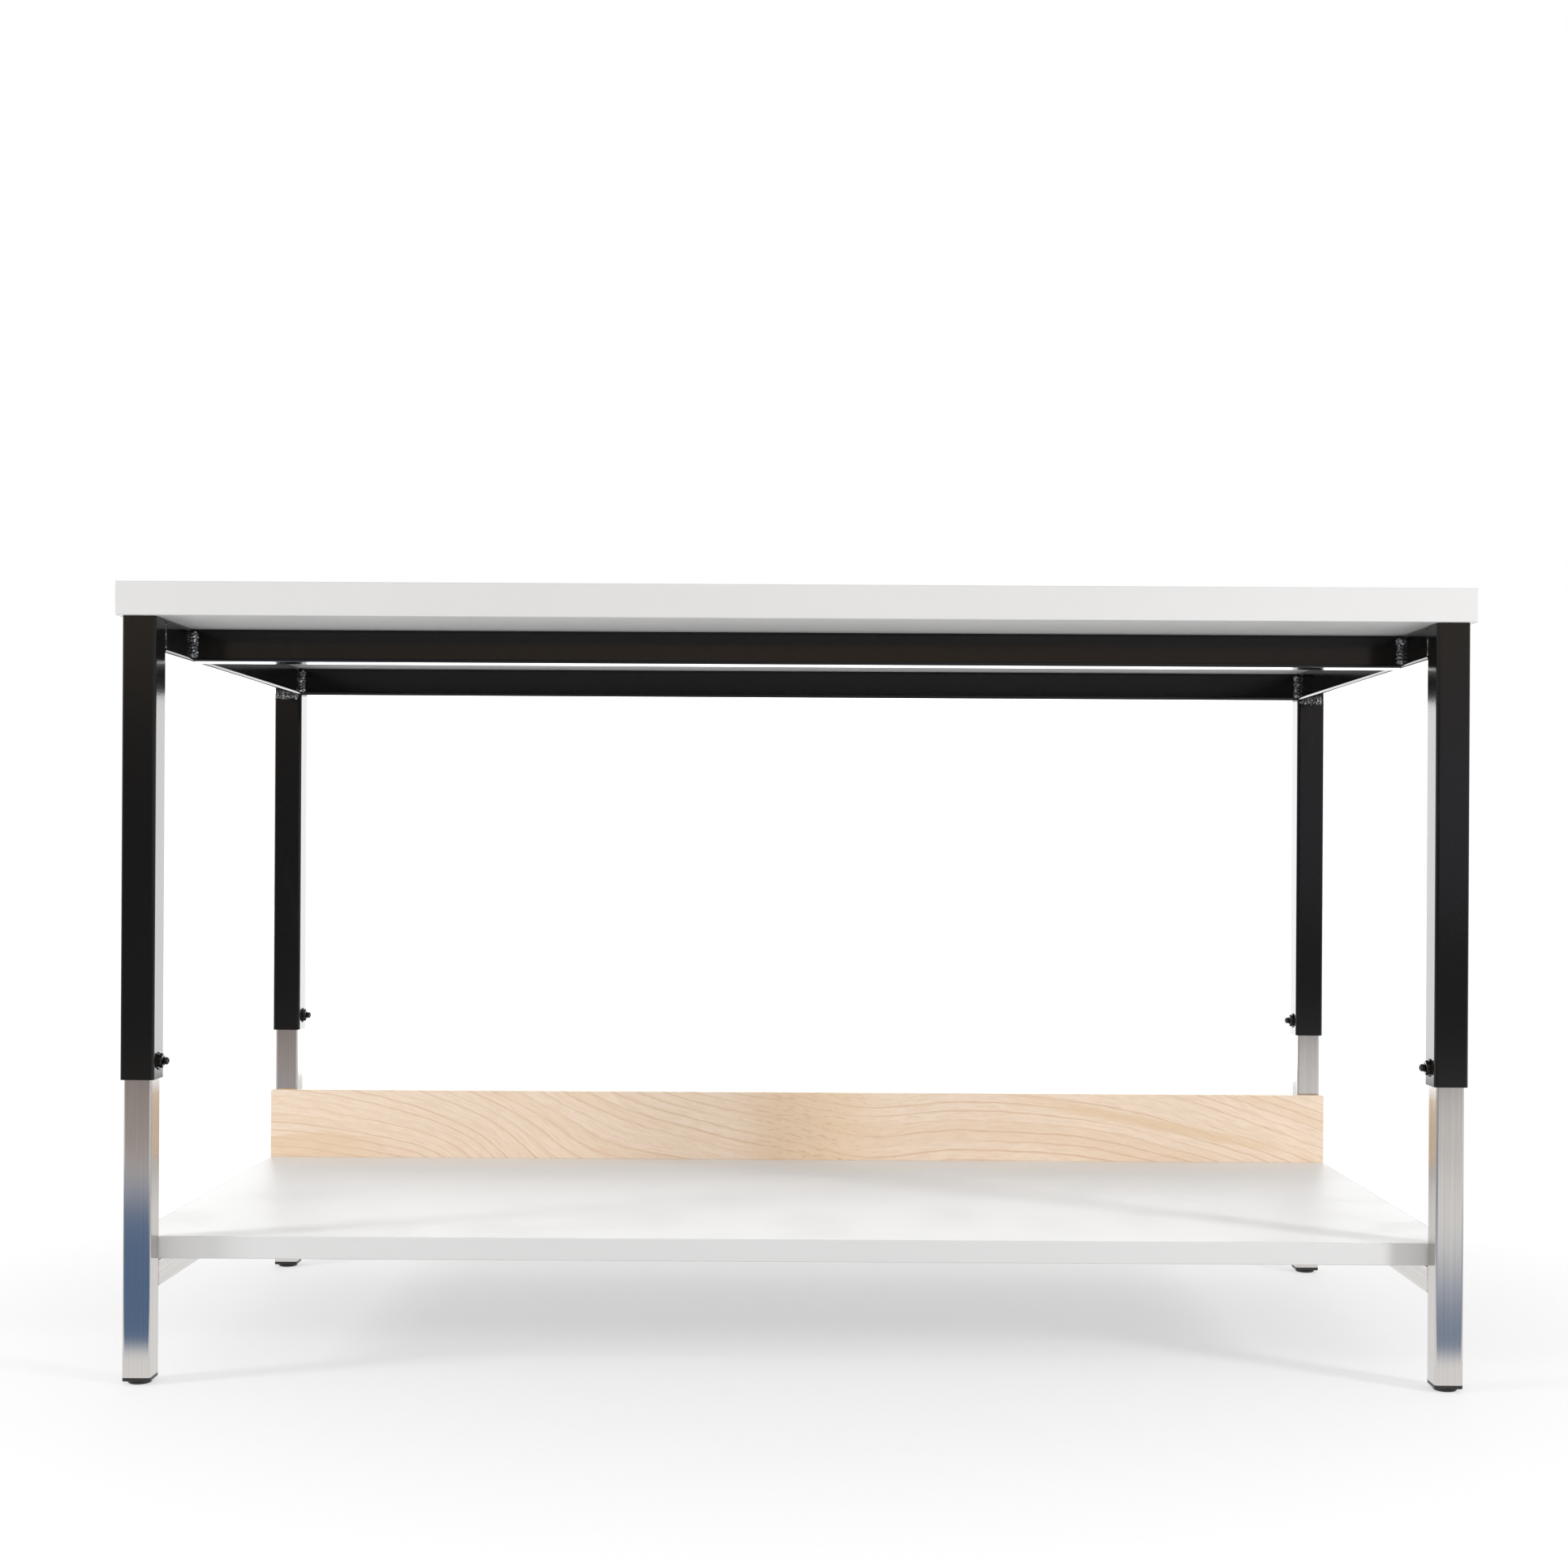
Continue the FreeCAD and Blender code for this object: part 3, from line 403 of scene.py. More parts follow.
def maple(name, pale, line, amber, fleck):
    """Flat-sawn maple along X: slanting growth rings, short pores, warm stains and pin knots."""
    made = Finish(name, ior=1.5, coat_weight=0.2, coat_roughness=0.35)
    x, y, z = made.axes(made.place())
    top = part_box("back_board")[1].z
    deep = top - z
    # height of the rings along the board, with a cathedral opening on the left
    drop = x * 0.19 + 0.032 * ((x + 0.36) * 5.7).math("SINE")
    drop = drop + 0.013 * made.within(x, (-0.04, 0.10), (0.10, 0.24))
    open_up = 0.45 * made.smooth(x, -0.56, -0.36) * (1 - 0.8 * made.smooth(x, -0.34, -0.12))
    wander = made.grain(x * 1.7, y * 2.0, z * 6.0)
    tremble = made.grain(x * 22.0, y * 30.0, z * 70.0, 3.0, 0.6)
    ring = (drop - deep * (1 - open_up) + 0.3 * y) * 84.0 + 2.4 * wander + 0.34 * tremble
    # late wood, fibres and pores within the rings
    phase = ring.math("FRACT")
    band = ring.math("FLOOR")
    strength = made.smooth(made.grain(band * 3.7, x * 1.8, 0.5, 1.0), 0.36, 0.60)
    late = made.within(phase, (0.70, 0.95), (0.96, 1.0))
    tone = made.grain(band * 5.3, x * 0.9, 4.0, 0.0)
    fibre = made.grain(x * 36.0, y * 500.0, ring * 5.0, 3.0, 0.65)
    pore = made.smooth(made.grain(x * 70.0, y * 900.0, ring * 8.0, 1.0), 0.60, 0.70)
    cloud = made.grain(x * 3.0, y, z * 9.0, 3.0)
    # warm places: the middle, a slanting band on the right, a stain on the left
    centre = made.within(x, (-0.10, -0.03), (0.05, 0.15))
    slant = z - (0.243 - 0.19 * (x - 0.36)) + 0.012 * (wander - 0.5)
    broad = made.within(x, (0.28, 0.42), (0.60, 0.74)) * (0.6 + 1.2 * (fibre - 0.3))
    broad = broad * (1 - made.smooth(slant.math("ABSOLUTE"), 0.005, 0.010))
    brow = 0.186 + 0.012 * ((x + 0.68) * 17.0).math("COSINE") + 0.012 * (tremble - 0.5)
    stain = (1 - made.smooth(z - brow, -0.002, 0.003)) * (1 - made.smooth(x, -0.66, -0.56))
    rim = made.smooth(z - brow, -0.020, 0.001) * stain
    # the tones, from the broadest to the finest
    base = made.mix(made.smooth(cloud, 0.25, 0.75), pale, tinted(pale, 0.96))
    base = made.mix(0.30 * made.smooth(tone, 0.50, 0.68), base, amber)
    base = made.mix(0.34 * made.smooth(fibre, 0.40, 0.68), base, line)
    base = made.mix(0.8 * late * (0.25 + 0.75 * strength) * (0.6 + 0.8 * fibre), base, line)
    warm = 0.6 * centre + 0.9 * broad + 0.5 * stain + 0.5 * rim * fibre
    base = made.mix(warm.math("MINIMUM", 1.0), base, amber)
    base = made.mix(pore * (0.20 + 0.7 * centre), base, line)
    knots = made.cells(made.join(x * 1.0, y * 0.3, z * 1.4), 13.0)
    chance = made.axes(made.out(knots, "Color"))[1]
    knot = (1 - made.smooth(made.out(knots, "Distance"), 0.014, 0.030)) * (chance > 0.86)
    base = made.mix(knot * 0.85, base, fleck)
    made.set(base_color=base)
    made.set(roughness=0.40 + 0.12 * fibre + 0.08 * pore)
    made.bump(fibre * 0.6 - pore * 0.8 - knot, 0.00006)


def black_paint(name, shade):
    """Semi-gloss paint with orange peel, faint smears and dust."""
    made = Finish(name, ior=1.39)
    where = made.place()
    peel = made.noise(where, 420.0)
    smear = made.streaks((22, 22, 6), 5.0, 0.7)
    mask = made.noise(where, 2.6)
    worn = made.smooth(smear, 0.52, 0.78) * made.smooth(mask, 0.52, 0.68)
    speck = made.noise(where, 900.0, 1.0)
    dust = made.smooth(speck, 0.74, 0.80) * made.smooth(made.noise(where, 30.0), 0.5, 0.7)
    grey = raised(shade, 0.012)
    made.set(base_color=made.mix(worn * 0.45 + dust * 0.6, shade, grey))
    made.set(roughness=0.09 + 0.06 * peel + 0.08 * worn)
    made.bump(peel, 0.00003)


def painted_weld(name, shade, bright):
    """The same paint, wet-looking over spatter and ripples, with painted highlights: near-white,
    slightly metallic glint spots scattered at random over it.
    """
    made = Finish(name, ior=2.1)
    where = made.place()
    lump = made.noise(where, 520.0, 3.0, 0.6)
    spatter = made.cells(where, 620.0)
    drop = 1 - made.smooth(made.out(spatter, "Distance"), 0.1, 0.5)
    # painted highlights: near-white, slightly metallic, shinier glint spots set at random by noise,
    # standing in for the weld's highlights
    painted_glint = made.smooth(made.noise(where, 330.0, 1.0), 0.60, 0.63)
    tone = made.mix(lump, shade, raised(shade, 0.006))
    made.set(base_color=made.mix(painted_glint, tone, bright))
    made.set(metallic=0.25 * painted_glint, roughness=0.04 + 0.05 * lump + 0.10 * painted_glint)
    made.bump(lump + 0.5 * drop, 0.00045)


def scaled(grain, factor):
    return tuple(factor * part for part in grain)


def brushed_steel(name, shade, grain):
    """Steel brushed along one axis; grain is the scale along X, Y and Z."""
    turn = 0.0 if grain[2] < grain[0] else 0.25
    made = Finish(name, metallic=1.0, anisotropic=0.9, anisotropic_rotation=turn)
    fine = made.streaks(grain, 2.0, 0.6)
    coarse = made.streaks(scaled(grain, 0.16), 3.0, 0.6)
    streak = made.streaks(scaled(grain, 0.40), 4.0, 0.75)
    cloud = made.noise(made.place(), 14.0, 3.0, 0.55)
    line = made.streaks(scaled(grain, 0.5), 0.0)
    scratch = made.smooth(line, 0.66, 0.72)
    dull = tinted(shade, 0.89)
    pale = tinted(shade, 1.06)
    tone = made.mix(made.smooth(0.35 * coarse + 0.65 * streak, 0.32, 0.68), dull, pale)
    made.set(base_color=made.mix(0.25 * made.smooth(cloud, 0.4, 0.7), tone, dull))
    made.set(roughness=0.12 + 0.06 * fine + 0.04 * cloud + 0.03 * scratch)
    made.bump(fine * 0.5 + coarse * 0.2 - scratch * 0.6, 0.00003)


def bare_weld(name, shade):
    """Dressed weld, straw and blue where the heat ran out."""
    made = Finish(name, metallic=1.0)
    where = made.place()
    lump = made.noise(where, 500.0, 3.0, 0.6)
    heat = made.noise(where, 120.0)
    straw = (0.50, 0.38, 0.22)
    blue = (0.16, 0.20, 0.34)
    tint = made.mix(made.smooth(heat, 0.35, 0.55), shade, straw)
    tint = made.mix(made.smooth(heat, 0.55, 0.72), tint, blue)
    made.set(base_color=made.mix(0.45, shade, tint))
    made.set(roughness=0.28 + 0.25 * lump)
    made.bump(lump, 0.0003)


def plated_steel(name, shade, gloss, wear):
    """Plated fixings: cloudy plating, rubbed where the relief is high."""
    made = Finish(name, metallic=1.0, ior=1.5)
    where = made.place()
    cloud = made.noise(where, 240.0, 3.0, 0.55)
    rub = made.noise(where, 1100.0)
    bright = raised(shade, wear)
    made.set(base_color=made.mix(made.smooth(rub, 0.6, 0.75), shade, bright))
    made.set(roughness=gloss + 0.14 * cloud)
    made.bump(cloud * 0.6 + rub * 0.4, 0.00003)


def moulded_plastic(name, shade):
    """Fine spark-eroded texture of moulded nylon."""
    made = Finish(name, ior=1.53)
    where = made.place()
    grain = made.noise(where, 1500.0, 3.0, 0.65)
    scuff = made.smooth(made.noise(where, 160.0, 4.0, 0.7), 0.56, 0.76)
    made.set(base_color=made.mix(scuff * 0.5, shade, raised(shade, 0.02)))
    made.set(roughness=0.34 + 0.14 * grain + 0.15 * scuff)
    made.bump(grain, 0.00005)


FINE, LONG = 2600.0, 9.0
UPRIGHT_GRAIN = (FINE, FINE, LONG)
LEVEL_GRAIN = (FINE, LONG, FINE)


class TABLE_OT_finishes(bpy.types.Operator):
    """Make the table's finishes and put them on the solid model's own pieces"""

    bl_idname = "assembly_table.finishes"
    bl_label = "Finishes"

    def execute(self, context):
        tones = finishes()
        white_laminate("white_laminate", tones.laminate)
        white_laminate("white_edge_band", tones.band)
        backing_sheet("backing_sheet", tones.backing)
        particle_board("particle_board", tones.board_core)
        maple("maple", tones.maple, tones.maple_line, tones.maple_amber, tones.maple_fleck)
        black_paint("black_paint", tones.paint)
        painted_weld("painted_weld", tones.paint, tones.painted_glint_colour)
        brushed_steel("brushed_steel", tones.steel, UPRIGHT_GRAIN)
        brushed_steel("brushed_steel_level", tones.steel, LEVEL_GRAIN)
        bare_weld("bare_weld", tones.steel)
        plated_steel("black_oxide_steel", tones.dark_steel, 0.12, 0.03)
        plated_steel("zinc_plated_steel", tones.zinc, 0.22, 0.1)
        moulded_plastic("black_plastic", tones.plastic)
        for row in frame["record"]["subparts"]:
            node = frame["nodes"][row["node"]]
            level = "_level" if row["node"].startswith("lower_side_rail") else ""
            node.data.materials.clear()
            node.data.materials.append(find_finish(row["material_slot"] + level))
        return {"FINISHED"}


# ---------------------------------------------------------------- modelling helpers


BEAD_ANGLE, EDGE_ANGLE, TURNED_ANGLE, THREAD_ANGLE = 60.0, 35.0, 30.0, 20.0
THREAD_DEPTH, THREAD_SIDE = 0.56, 0.44


def deselect():
    for item in bpy.context.view_layer.objects:
        item.select_set(False)


def activate(piece):
    deselect()
    piece.select_set(True)
    bpy.context.view_layer.objects.active = piece


def primitive(name, add, **settings):
    """A new primitive, alone in the selection, its place and turn taken into its mesh."""
    deselect()
    add(**settings)
    piece = bpy.context.object
    piece.name = name
    bpy.ops.object.transform_apply()
    return piece


def start_edit(piece):
    activate(piece)
    bpy.ops.object.mode_set(mode="EDIT")
    bpy.ops.mesh.select_all(action="SELECT")


def end_edit():
    bpy.ops.object.mode_set(mode="OBJECT")


def pick(piece, kind, test):
    """In edit mode, select only the verts, edges or faces for which test is true."""
    bpy.ops.mesh.select_mode(type={"verts": "VERT", "edges": "EDGE", "faces": "FACE"}[kind])
    bpy.ops.mesh.select_all(action="DESELECT")
    mesh = bmesh.from_edit_mesh(piece.data)
    for item in getattr(mesh, kind):
        if test(item):
            item.select_set(True)
    mesh.select_flush_mode()
    bmesh.update_edit_mesh(piece.data)


def edge_height(edge):
    return (edge.verts[0].co.z + edge.verts[1].co.z) / 2


def is_level(edge):
    return abs(edge.verts[0].co.z - edge.verts[1].co.z) < FLAT


def is_upright(edge):
    return (edge.verts[0].co - edge.verts[1].co).xy.length < FLAT


def extrude_up(rise, grow, centre):
    """Extrude the selection, then scale it about a centre."""
    bpy.ops.mesh.extrude_region_move(TRANSFORM_OT_translate={"value": (0, 0, rise)})
    bpy.ops.transform.resize(value=(grow, grow, 1), center_override=centre)


def turned(name, profile, sides=48):
    """A turned solid: a disc drawn out ring by ring through (radius, height) points."""
    radius, height = profile[0]
    piece = primitive(
        name, bpy.ops.mesh.primitive_circle_add, vertices=sides, radius=radius,
        fill_type="NGON", location=(0, 0, height),
    )
    start_edit(piece)
    for next_radius, next_height in profile[1:]:
        extrude_up(next_height - height, next_radius / radius, (0, 0, next_height))
        radius, height = next_radius, next_height
    tidy_normals()
    end_edit()
    return piece


def tidy_normals():
    bpy.ops.mesh.select_all(action="SELECT")
    bpy.ops.mesh.normals_make_consistent(inside=False)


def block(name, sizes, centre):
    """A box of these sizes round a centre."""
    return primitive(
        name, bpy.ops.mesh.primitive_cube_add, size=1, location=centre, scale=sizes
    )


def hexagon(name, flats, low, high):
    """A hexagonal prism standing on a height."""
    return primitive(
        name, bpy.ops.mesh.primitive_cylinder_add, vertices=6, radius=flats / math.sqrt(3),
        depth=high - low, location=(0, 0, (high + low) / 2),
    )


def apply_modifier(piece, kind, **settings):
    """Add a modifier and apply it."""
    activate(piece)
    modifier = piece.modifiers.new(kind.title(), kind)
    for key, value in settings.items():
        setattr(modifier, key, value)
    bpy.ops.object.modifier_apply(modifier=modifier.name)


def combine(piece, tool, operation):
    """Boolean with another piece, which is used up."""
    apply_modifier(piece, "BOOLEAN", object=tool, operation=operation, solver="EXACT")
    bpy.data.objects.remove(tool)


def bevel(piece, test, width, segments=3):
    """Round the edges for which test is true."""
    start_edit(piece)
    pick(piece, "edges", test)
    bpy.ops.mesh.bevel(offset=width, segments=segments, profile=0.5, affect="EDGES")
    end_edit()


def soften(piece, width, angle):
    """A fine bevel on all sharp edges."""
    apply_modifier(
        piece, "BEVEL", width=width, segments=2, limit_method="ANGLE",
        angle_limit=math.radians(angle), harden_normals=False,
    )


def thread(radius, pitch, low, high, steps):
    """A right-hand ridge wound from one height to another, closed at both ends."""
    ridge = primitive(
        "thread", bpy.ops.mesh.primitive_circle_add, vertices=3, radius=THREAD_SIDE * pitch,
        fill_type="NOTHING", rotation=(math.pi / 2, 0, 0),
    )
    tip = max(vertex.co.z for vertex in ridge.data.vertices)
    lean = Matrix.Rotation(math.pi / 2, 4, "Y")
    ridge.data.transform(Matrix.Translation((radius - tip, 0, low + pitch / 2)) @ lean)
    turns = max(1, round((high - low) / pitch) - 1)
    apply_modifier(
        ridge, "SCREW", axis="Z", angle=math.tau, screw_offset=pitch, iterations=turns,
        steps=steps, render_steps=steps, use_smooth_shade=False, use_merge_vertices=False,
    )
    start_edit(ridge)
    bpy.ops.mesh.select_all(action="DESELECT")
    bpy.ops.mesh.select_mode(type="EDGE")
    bpy.ops.mesh.select_non_manifold()
    bpy.ops.mesh.fill_holes(sides=0)
    tidy_normals()
    end_edit()
    return ridge, radius - THREAD_DEPTH * pitch


def merge(name, pieces):
    """Join pieces into one object."""
    deselect()
    for piece in pieces:
        piece.select_set(True)
    bpy.context.view_layer.objects.active = pieces[0]
    if len(pieces) > 1:
        bpy.ops.object.join()
    pieces[0].name = name
    return pieces[0]


def shade(piece, angle=40.0):
    activate(piece)
    bpy.ops.object.shade_smooth_by_angle(angle=math.radians(angle))


def threaded(name, body, ridge):
    """A turned body and its thread as one piece."""
    shade(body, TURNED_ANGLE)
    shade(ridge, THREAD_ANGLE)
    return merge(name, [body, ridge])


def copy_at(piece, matrix):
    """A copy with a mesh of its own, moved in that mesh."""
    twin = bpy.data.objects.new(piece.name + "_copy", piece.data.copy())
    bpy.context.scene.collection.objects.link(twin)
    twin.data.transform(matrix)
    return twin


def copies(name, piece, matrices):
    """The piece repeated at each matrix as one object; the pattern itself is used up."""
    twins = [copy_at(piece, matrix) for matrix in matrices]
    bpy.data.objects.remove(piece)
    return merge(name, twins)


def four_corners(pattern, stem, slot, body=None):
    """A copy of the pattern for each corner's node; the pattern itself is used up."""
    for corner in CORNERS:
        node = f"{stem}_{corner}"
        spot = middle(node)
        twin = merge(f"{stem}_body_{corner}", [copy_at(pattern, moved(spot.x, spot.y, 0))])
        fit_out(twin, node, body or node, slot)
    bpy.data.objects.remove(pattern)


def fit_out(piece, node, body, slot):
    """Give a finished piece its finish and its place in the assembly, and hide the node it stands
    for.
    """
    piece.data.materials.clear()
    piece.data.materials.append(find_finish(slot))
    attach(piece, body)
    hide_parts(node)


# ---------------------------------------------------------------- places read from the frame


def middle(node):
    low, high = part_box(node)
    return (low + high) / 2


def heights(node):
    low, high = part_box(node)
    return low.z, high.z


def moved(x, y, z, turn=(0, 0, 0)):
    """A turn in degrees, then a move."""
    angles = [math.radians(angle) for angle in turn]
    return Matrix.Translation((x, y, z)) @ Euler(angles).to_matrix().to_4x4()


def rotated(*turn):
    return moved(0, 0, 0, turn)


# ---------------------------------------------------------------- welds


CREST, FALL, ROOT, LEAD_IN = 0.42, 0.66, 0.96, 0.12
FIRST_SIZE, LEAD_SIZE, LAST_SIZE, END_SIZE = 0.55, 0.9, 0.86, 0.5
FILLET_SWELL, GROOVE_SWELL, FILLET_BOW = 0.17, 0.035, 0.55
BOW_STEPS = (0.05, 0.30, 0.60)


def lay_bead(name, profile_piece, run, ripple, centre, swell, seed):
    """Draw a flat section out along Z in uneven ripples about a centre.

    The rings are pairs of a place, counted in ripples, and a size.
    """
    dice = random.Random(seed)
    count = max(3, round(run / ripple))
    step = run / count
    start_edit(profile_piece)
    size, z = FIRST_SIZE, 0.0
    bpy.ops.transform.resize(value=(size, size, 1), center_override=(*centre, 0))
    rings = [(LEAD_IN, LEAD_SIZE)]
    for index in range(count):
        crest = 1 + swell * dice.uniform(0.6, 1.2)
        root = 1 - swell * dice.uniform(0.5, 1.1)
        rings += [(index + CREST, crest), (index + FALL, crest * 0.99), (index + ROOT, root)]
    rings[-1:] = [(count - LEAD_IN, LAST_SIZE), (count, END_SIZE)]
    for where, target in rings:
        extrude_up(where * step - z, target / size, (*centre, where * step))
        z, size = where * step, target
    tidy_normals()
    end_edit()
    profile_piece.name = name
    return profile_piece


def quarter_disc(radius, bow):
    """A quarter disc in the corner of +X and +Y, its rim bowed along Z like a weld ripple."""
    piece = primitive(
        "bead", bpy.ops.mesh.primitive_circle_add, vertices=24, radius=radius, fill_type="NGON"
    )
    start_edit(piece)
    for normal in ((1, 0, 0), (0, 1, 0)):
        bpy.ops.mesh.select_all(action="SELECT")
        bpy.ops.mesh.bisect(plane_co=(0, 0, 0), plane_no=normal, clear_inner=True)
    for reach in BOW_STEPS:
        pick(piece, "verts", lambda v: min(v.co.x, v.co.y) > reach * radius)
        bpy.ops.transform.translate(value=(0, 0, bow / len(BOW_STEPS)))
    end_edit()
    return piece


def fillet_bead(name, leg, run, ripple, seed):
    piece = quarter_disc(leg, ripple * FILLET_BOW)
    return lay_bead(name, piece, run, ripple, (0, 0), FILLET_SWELL, seed)


def corner_wedge(radius):
    """The space between a rounded corner, centred at -radius, and the square corner at zero."""
    piece = primitive(
        "bead", bpy.ops.mesh.primitive_circle_add, vertices=32, radius=radius,
        fill_type="NOTHING", location=(-radius, -radius, 0),
    )
    start_edit(piece)
    room = radius * 0.01
    pick(piece, "verts", lambda v: v.co.x < -radius - room or v.co.y < -radius - room)
    bpy.ops.mesh.delete(type="VERT")
    pick(piece, "verts", lambda v: v.co.x > -room)
    bpy.ops.mesh.extrude_vertices_move(TRANSFORM_OT_translate={"value": (0, radius, 0)})
    bpy.ops.mesh.select_all(action="SELECT")
    bpy.ops.mesh.edge_face_add()
    end_edit()
    return piece


def groove_bead(name, radius, run, ripple, seed):
    piece = corner_wedge(radius)
    return lay_bead(name, piece, run, ripple, (-radius, -radius), GROOVE_SWELL, seed)


def finish_beads(name, beads, node, body, slot):
    welds = merge(name, beads)
    shade(welds, BEAD_ANGLE)
    fit_out(welds, node, body, slot)


class TABLE_OT_cross_rail_welds(bpy.types.Operator):
    """Lay the upright fillet welds between the cross rails and the frame"""

    bl_idname = "assembly_table.cross_rail_welds"
    bl_label = "Cross rail welds"

    def execute(self, context):
        sizes, node = details(), "cross_rail_welds"
        rail_low, rail_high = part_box("upper_rail_front")
        inner = middle("upper_side_rail_right").x - (rail_high.y - rail_low.y) / 2
        rear_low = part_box("upper_rail_rear")[0]
        bottom, top = heights(node)
        spots = [
            (-inner, rail_low.y, 270), (inner, rail_low.y, 180),
            (-inner, rail_high.y, 0), (inner, rail_high.y, 90),
            (-inner, rear_low.y, 270), (inner, rear_low.y, 180),
        ]
        beads = []
        for seed, (x, y, turn) in enumerate(spots):
            bead = fillet_bead("bead", sizes.bead_leg, top - bottom, sizes.bead_ripple, seed)
            bead.data.transform(moved(x, y, bottom, (0, 0, turn)))
            beads.append(bead)
        finish_beads("cross_rail_weld_beads", beads, node, "upper_frame", "painted_weld")
        return {"FINISHED"}


class TABLE_OT_under_rail_welds(bpy.types.Operator):
    """Lay the level fillet welds under the side rails"""

    bl_idname = "assembly_table.under_rail_welds"
    bl_label = "Under rail welds"

    def execute(self, context):
        sizes, node = details(), "side_rail_under_welds"
        run = 2 * (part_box(node)[1].x - middle("upper_leg_front_right").x)
        under = heights("upper_side_rail_left")[0]
        beads = []
        for seed, corner in enumerate(CORNERS):
            leg = f"upper_leg_{corner}"
            front = corner.startswith("front")
            start, turn = (-run / 2, 0) if front else (run / 2, 180)
            x, y = middle(leg).x + start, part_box(leg)[1 if front else 0].y
            bead = fillet_bead("bead", sizes.bead_leg, run, sizes.bead_ripple, 20 + seed)
            bead.data.transform(moved(x, y, under, (0, 0, turn)) @ rotated(0, 90, 0))
            beads.append(bead)
        finish_beads("under_rail_weld_beads", beads, node, "upper_frame", "painted_weld")
        return {"FINISHED"}


def groove_welds(name, node, leg_stem, radius, body, slot, seed):
    """Both faces of the four joints where a side rail's end meets a rounded leg."""
    bottom, top = heights(node)
    turns = {(1, "front"): 0, (-1, "front"): 90, (-1, "rear"): 180, (1, "rear"): 270}
    beads = []
    for corner in CORNERS:
        low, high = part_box(leg_stem + corner)
        end = corner.split("_")[0]
        y = high.y if end == "front" else low.y
        for side, x in ((-1, low.x), (1, high.x)):
            seed += 1
            bead = groove_bead("bead", radius, top - bottom, details().bead_ripple, seed)
            bead.data.transform(moved(x, y, bottom, (0, 0, turns[side, end])))
            beads.append(bead)
    finish_beads(name, beads, node, body, slot)


class TABLE_OT_side_rail_welds(bpy.types.Operator):
    """Lay the dressed welds on the faces of the painted side rails' ends"""

    bl_idname = "assembly_table.side_rail_welds"
    bl_label = "Side rail welds"

    def execute(self, context):
        groove_welds(
            "side_rail_weld_beads", "side_rail_face_welds", "upper_leg_",
            details().groove_round, "upper_frame", "painted_weld", 40,
        )
        return {"FINISHED"}


class TABLE_OT_lower_rail_welds(bpy.types.Operator):
    """Lay the dressed welds on the faces of the lower side rails' ends"""

    bl_idname = "assembly_table.lower_rail_welds"
    bl_label = "Lower rail welds"

    def execute(self, context):
        groove_welds(
            "lower_rail_weld_beads", "lower_rail_welds", "lower_leg_",
            details().low_groove_round, "lower_frame", "bare_weld", 60,
        )
        return {"FINISHED"}


# ---------------------------------------------------------------- fixings


def lock_places():
    """Where each lock nut sits: on the inner face of its sleeve, facing the table's middle."""
    z = middle("lock_nuts").z
    places = []
    for corner in CORNERS:
        low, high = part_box("upper_leg_" + corner)
        left = corner.endswith("left")
        x = high.x if left else low.x
        places.append(moved(x, (low.y + high.y) / 2, z, (0, 90 if left else -90, 0)))
    return places


class TABLE_OT_lock_screws(bpy.types.Operator):
    """Make the four headless lock screws: hexagon socket, rolled thread and plain point"""

    bl_idname = "assembly_table.lock_screws"
    bl_label = "Lock screws"

    def execute(self, context):
        sizes = details()
        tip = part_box("upper_leg_front_right")[0].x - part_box("lock_screws")[1].x
        end = sizes.nut_high + sizes.lock_end
        point, ease, runout = 1.0 * MM, 0.7 * MM, 0.5 * MM
        ridge, root = thread(sizes.lock_radius, sizes.lock_pitch, 1.0 * MM, end - runout, 28)
        body = turned("lock_screw", [
            (root - point, tip), (root, tip + point), (root, end - ease), (root - ease, end),
        ])
        socket = hexagon("socket", sizes.socket_flats, end - sizes.socket_deep, end + MM)
        combine(body, socket, "DIFFERENCE")
        screws = copies("lock_screw_set", threaded("lock_screw", body, ridge), lock_places())
        fit_out(screws, "lock_screws", "upper_frame", "black_oxide_steel")
        return {"FINISHED"}


def nut_blank(name, low, high):
    """A hexagon with two corners on the X axis, which stands upright in place."""
    blank = hexagon(name, details().nut_flats, low, high)
    blank.data.transform(rotated(0, 0, 90))
    return blank


def nut_corner():
    return details().nut_flats / math.sqrt(3)


class TABLE_OT_lock_nuts(bpy.types.Operator):
    """Make the four thin lock nuts"""

    bl_idname = "assembly_table.lock_nuts"
    bl_label = "Lock nuts"

    def execute(self, context):
        sizes = details()
        high, rim = sizes.nut_high, sizes.nut_flats * 0.485
        chamfer, lead, fit, edge = 0.86 * MM, 0.6 * MM, 0.03 * MM, 0.18 * MM
        outside = nut_corner() + 0.2 * MM
        nut = nut_blank("lock_nut", 0.0, high)
        cone = turned("cone", [
            (outside, -MM), (outside, high - chamfer), (rim, high), (rim, high + MM),
        ], 96)
        combine(nut, cone, "INTERSECT")
        hole = sizes.lock_radius + fit
        bore = turned("bore", [
            (hole, -MM), (hole, high - lead), (hole + lead, high), (hole + lead, high + MM),
        ])
        combine(nut, bore, "DIFFERENCE")
        soften(nut, edge, 25.0)
        shade(nut, EDGE_ANGLE)
        nuts = copies("lock_nut_set", nut, lock_places())
        fit_out(nuts, "lock_nuts", "upper_frame", "black_oxide_steel")
        return {"FINISHED"}


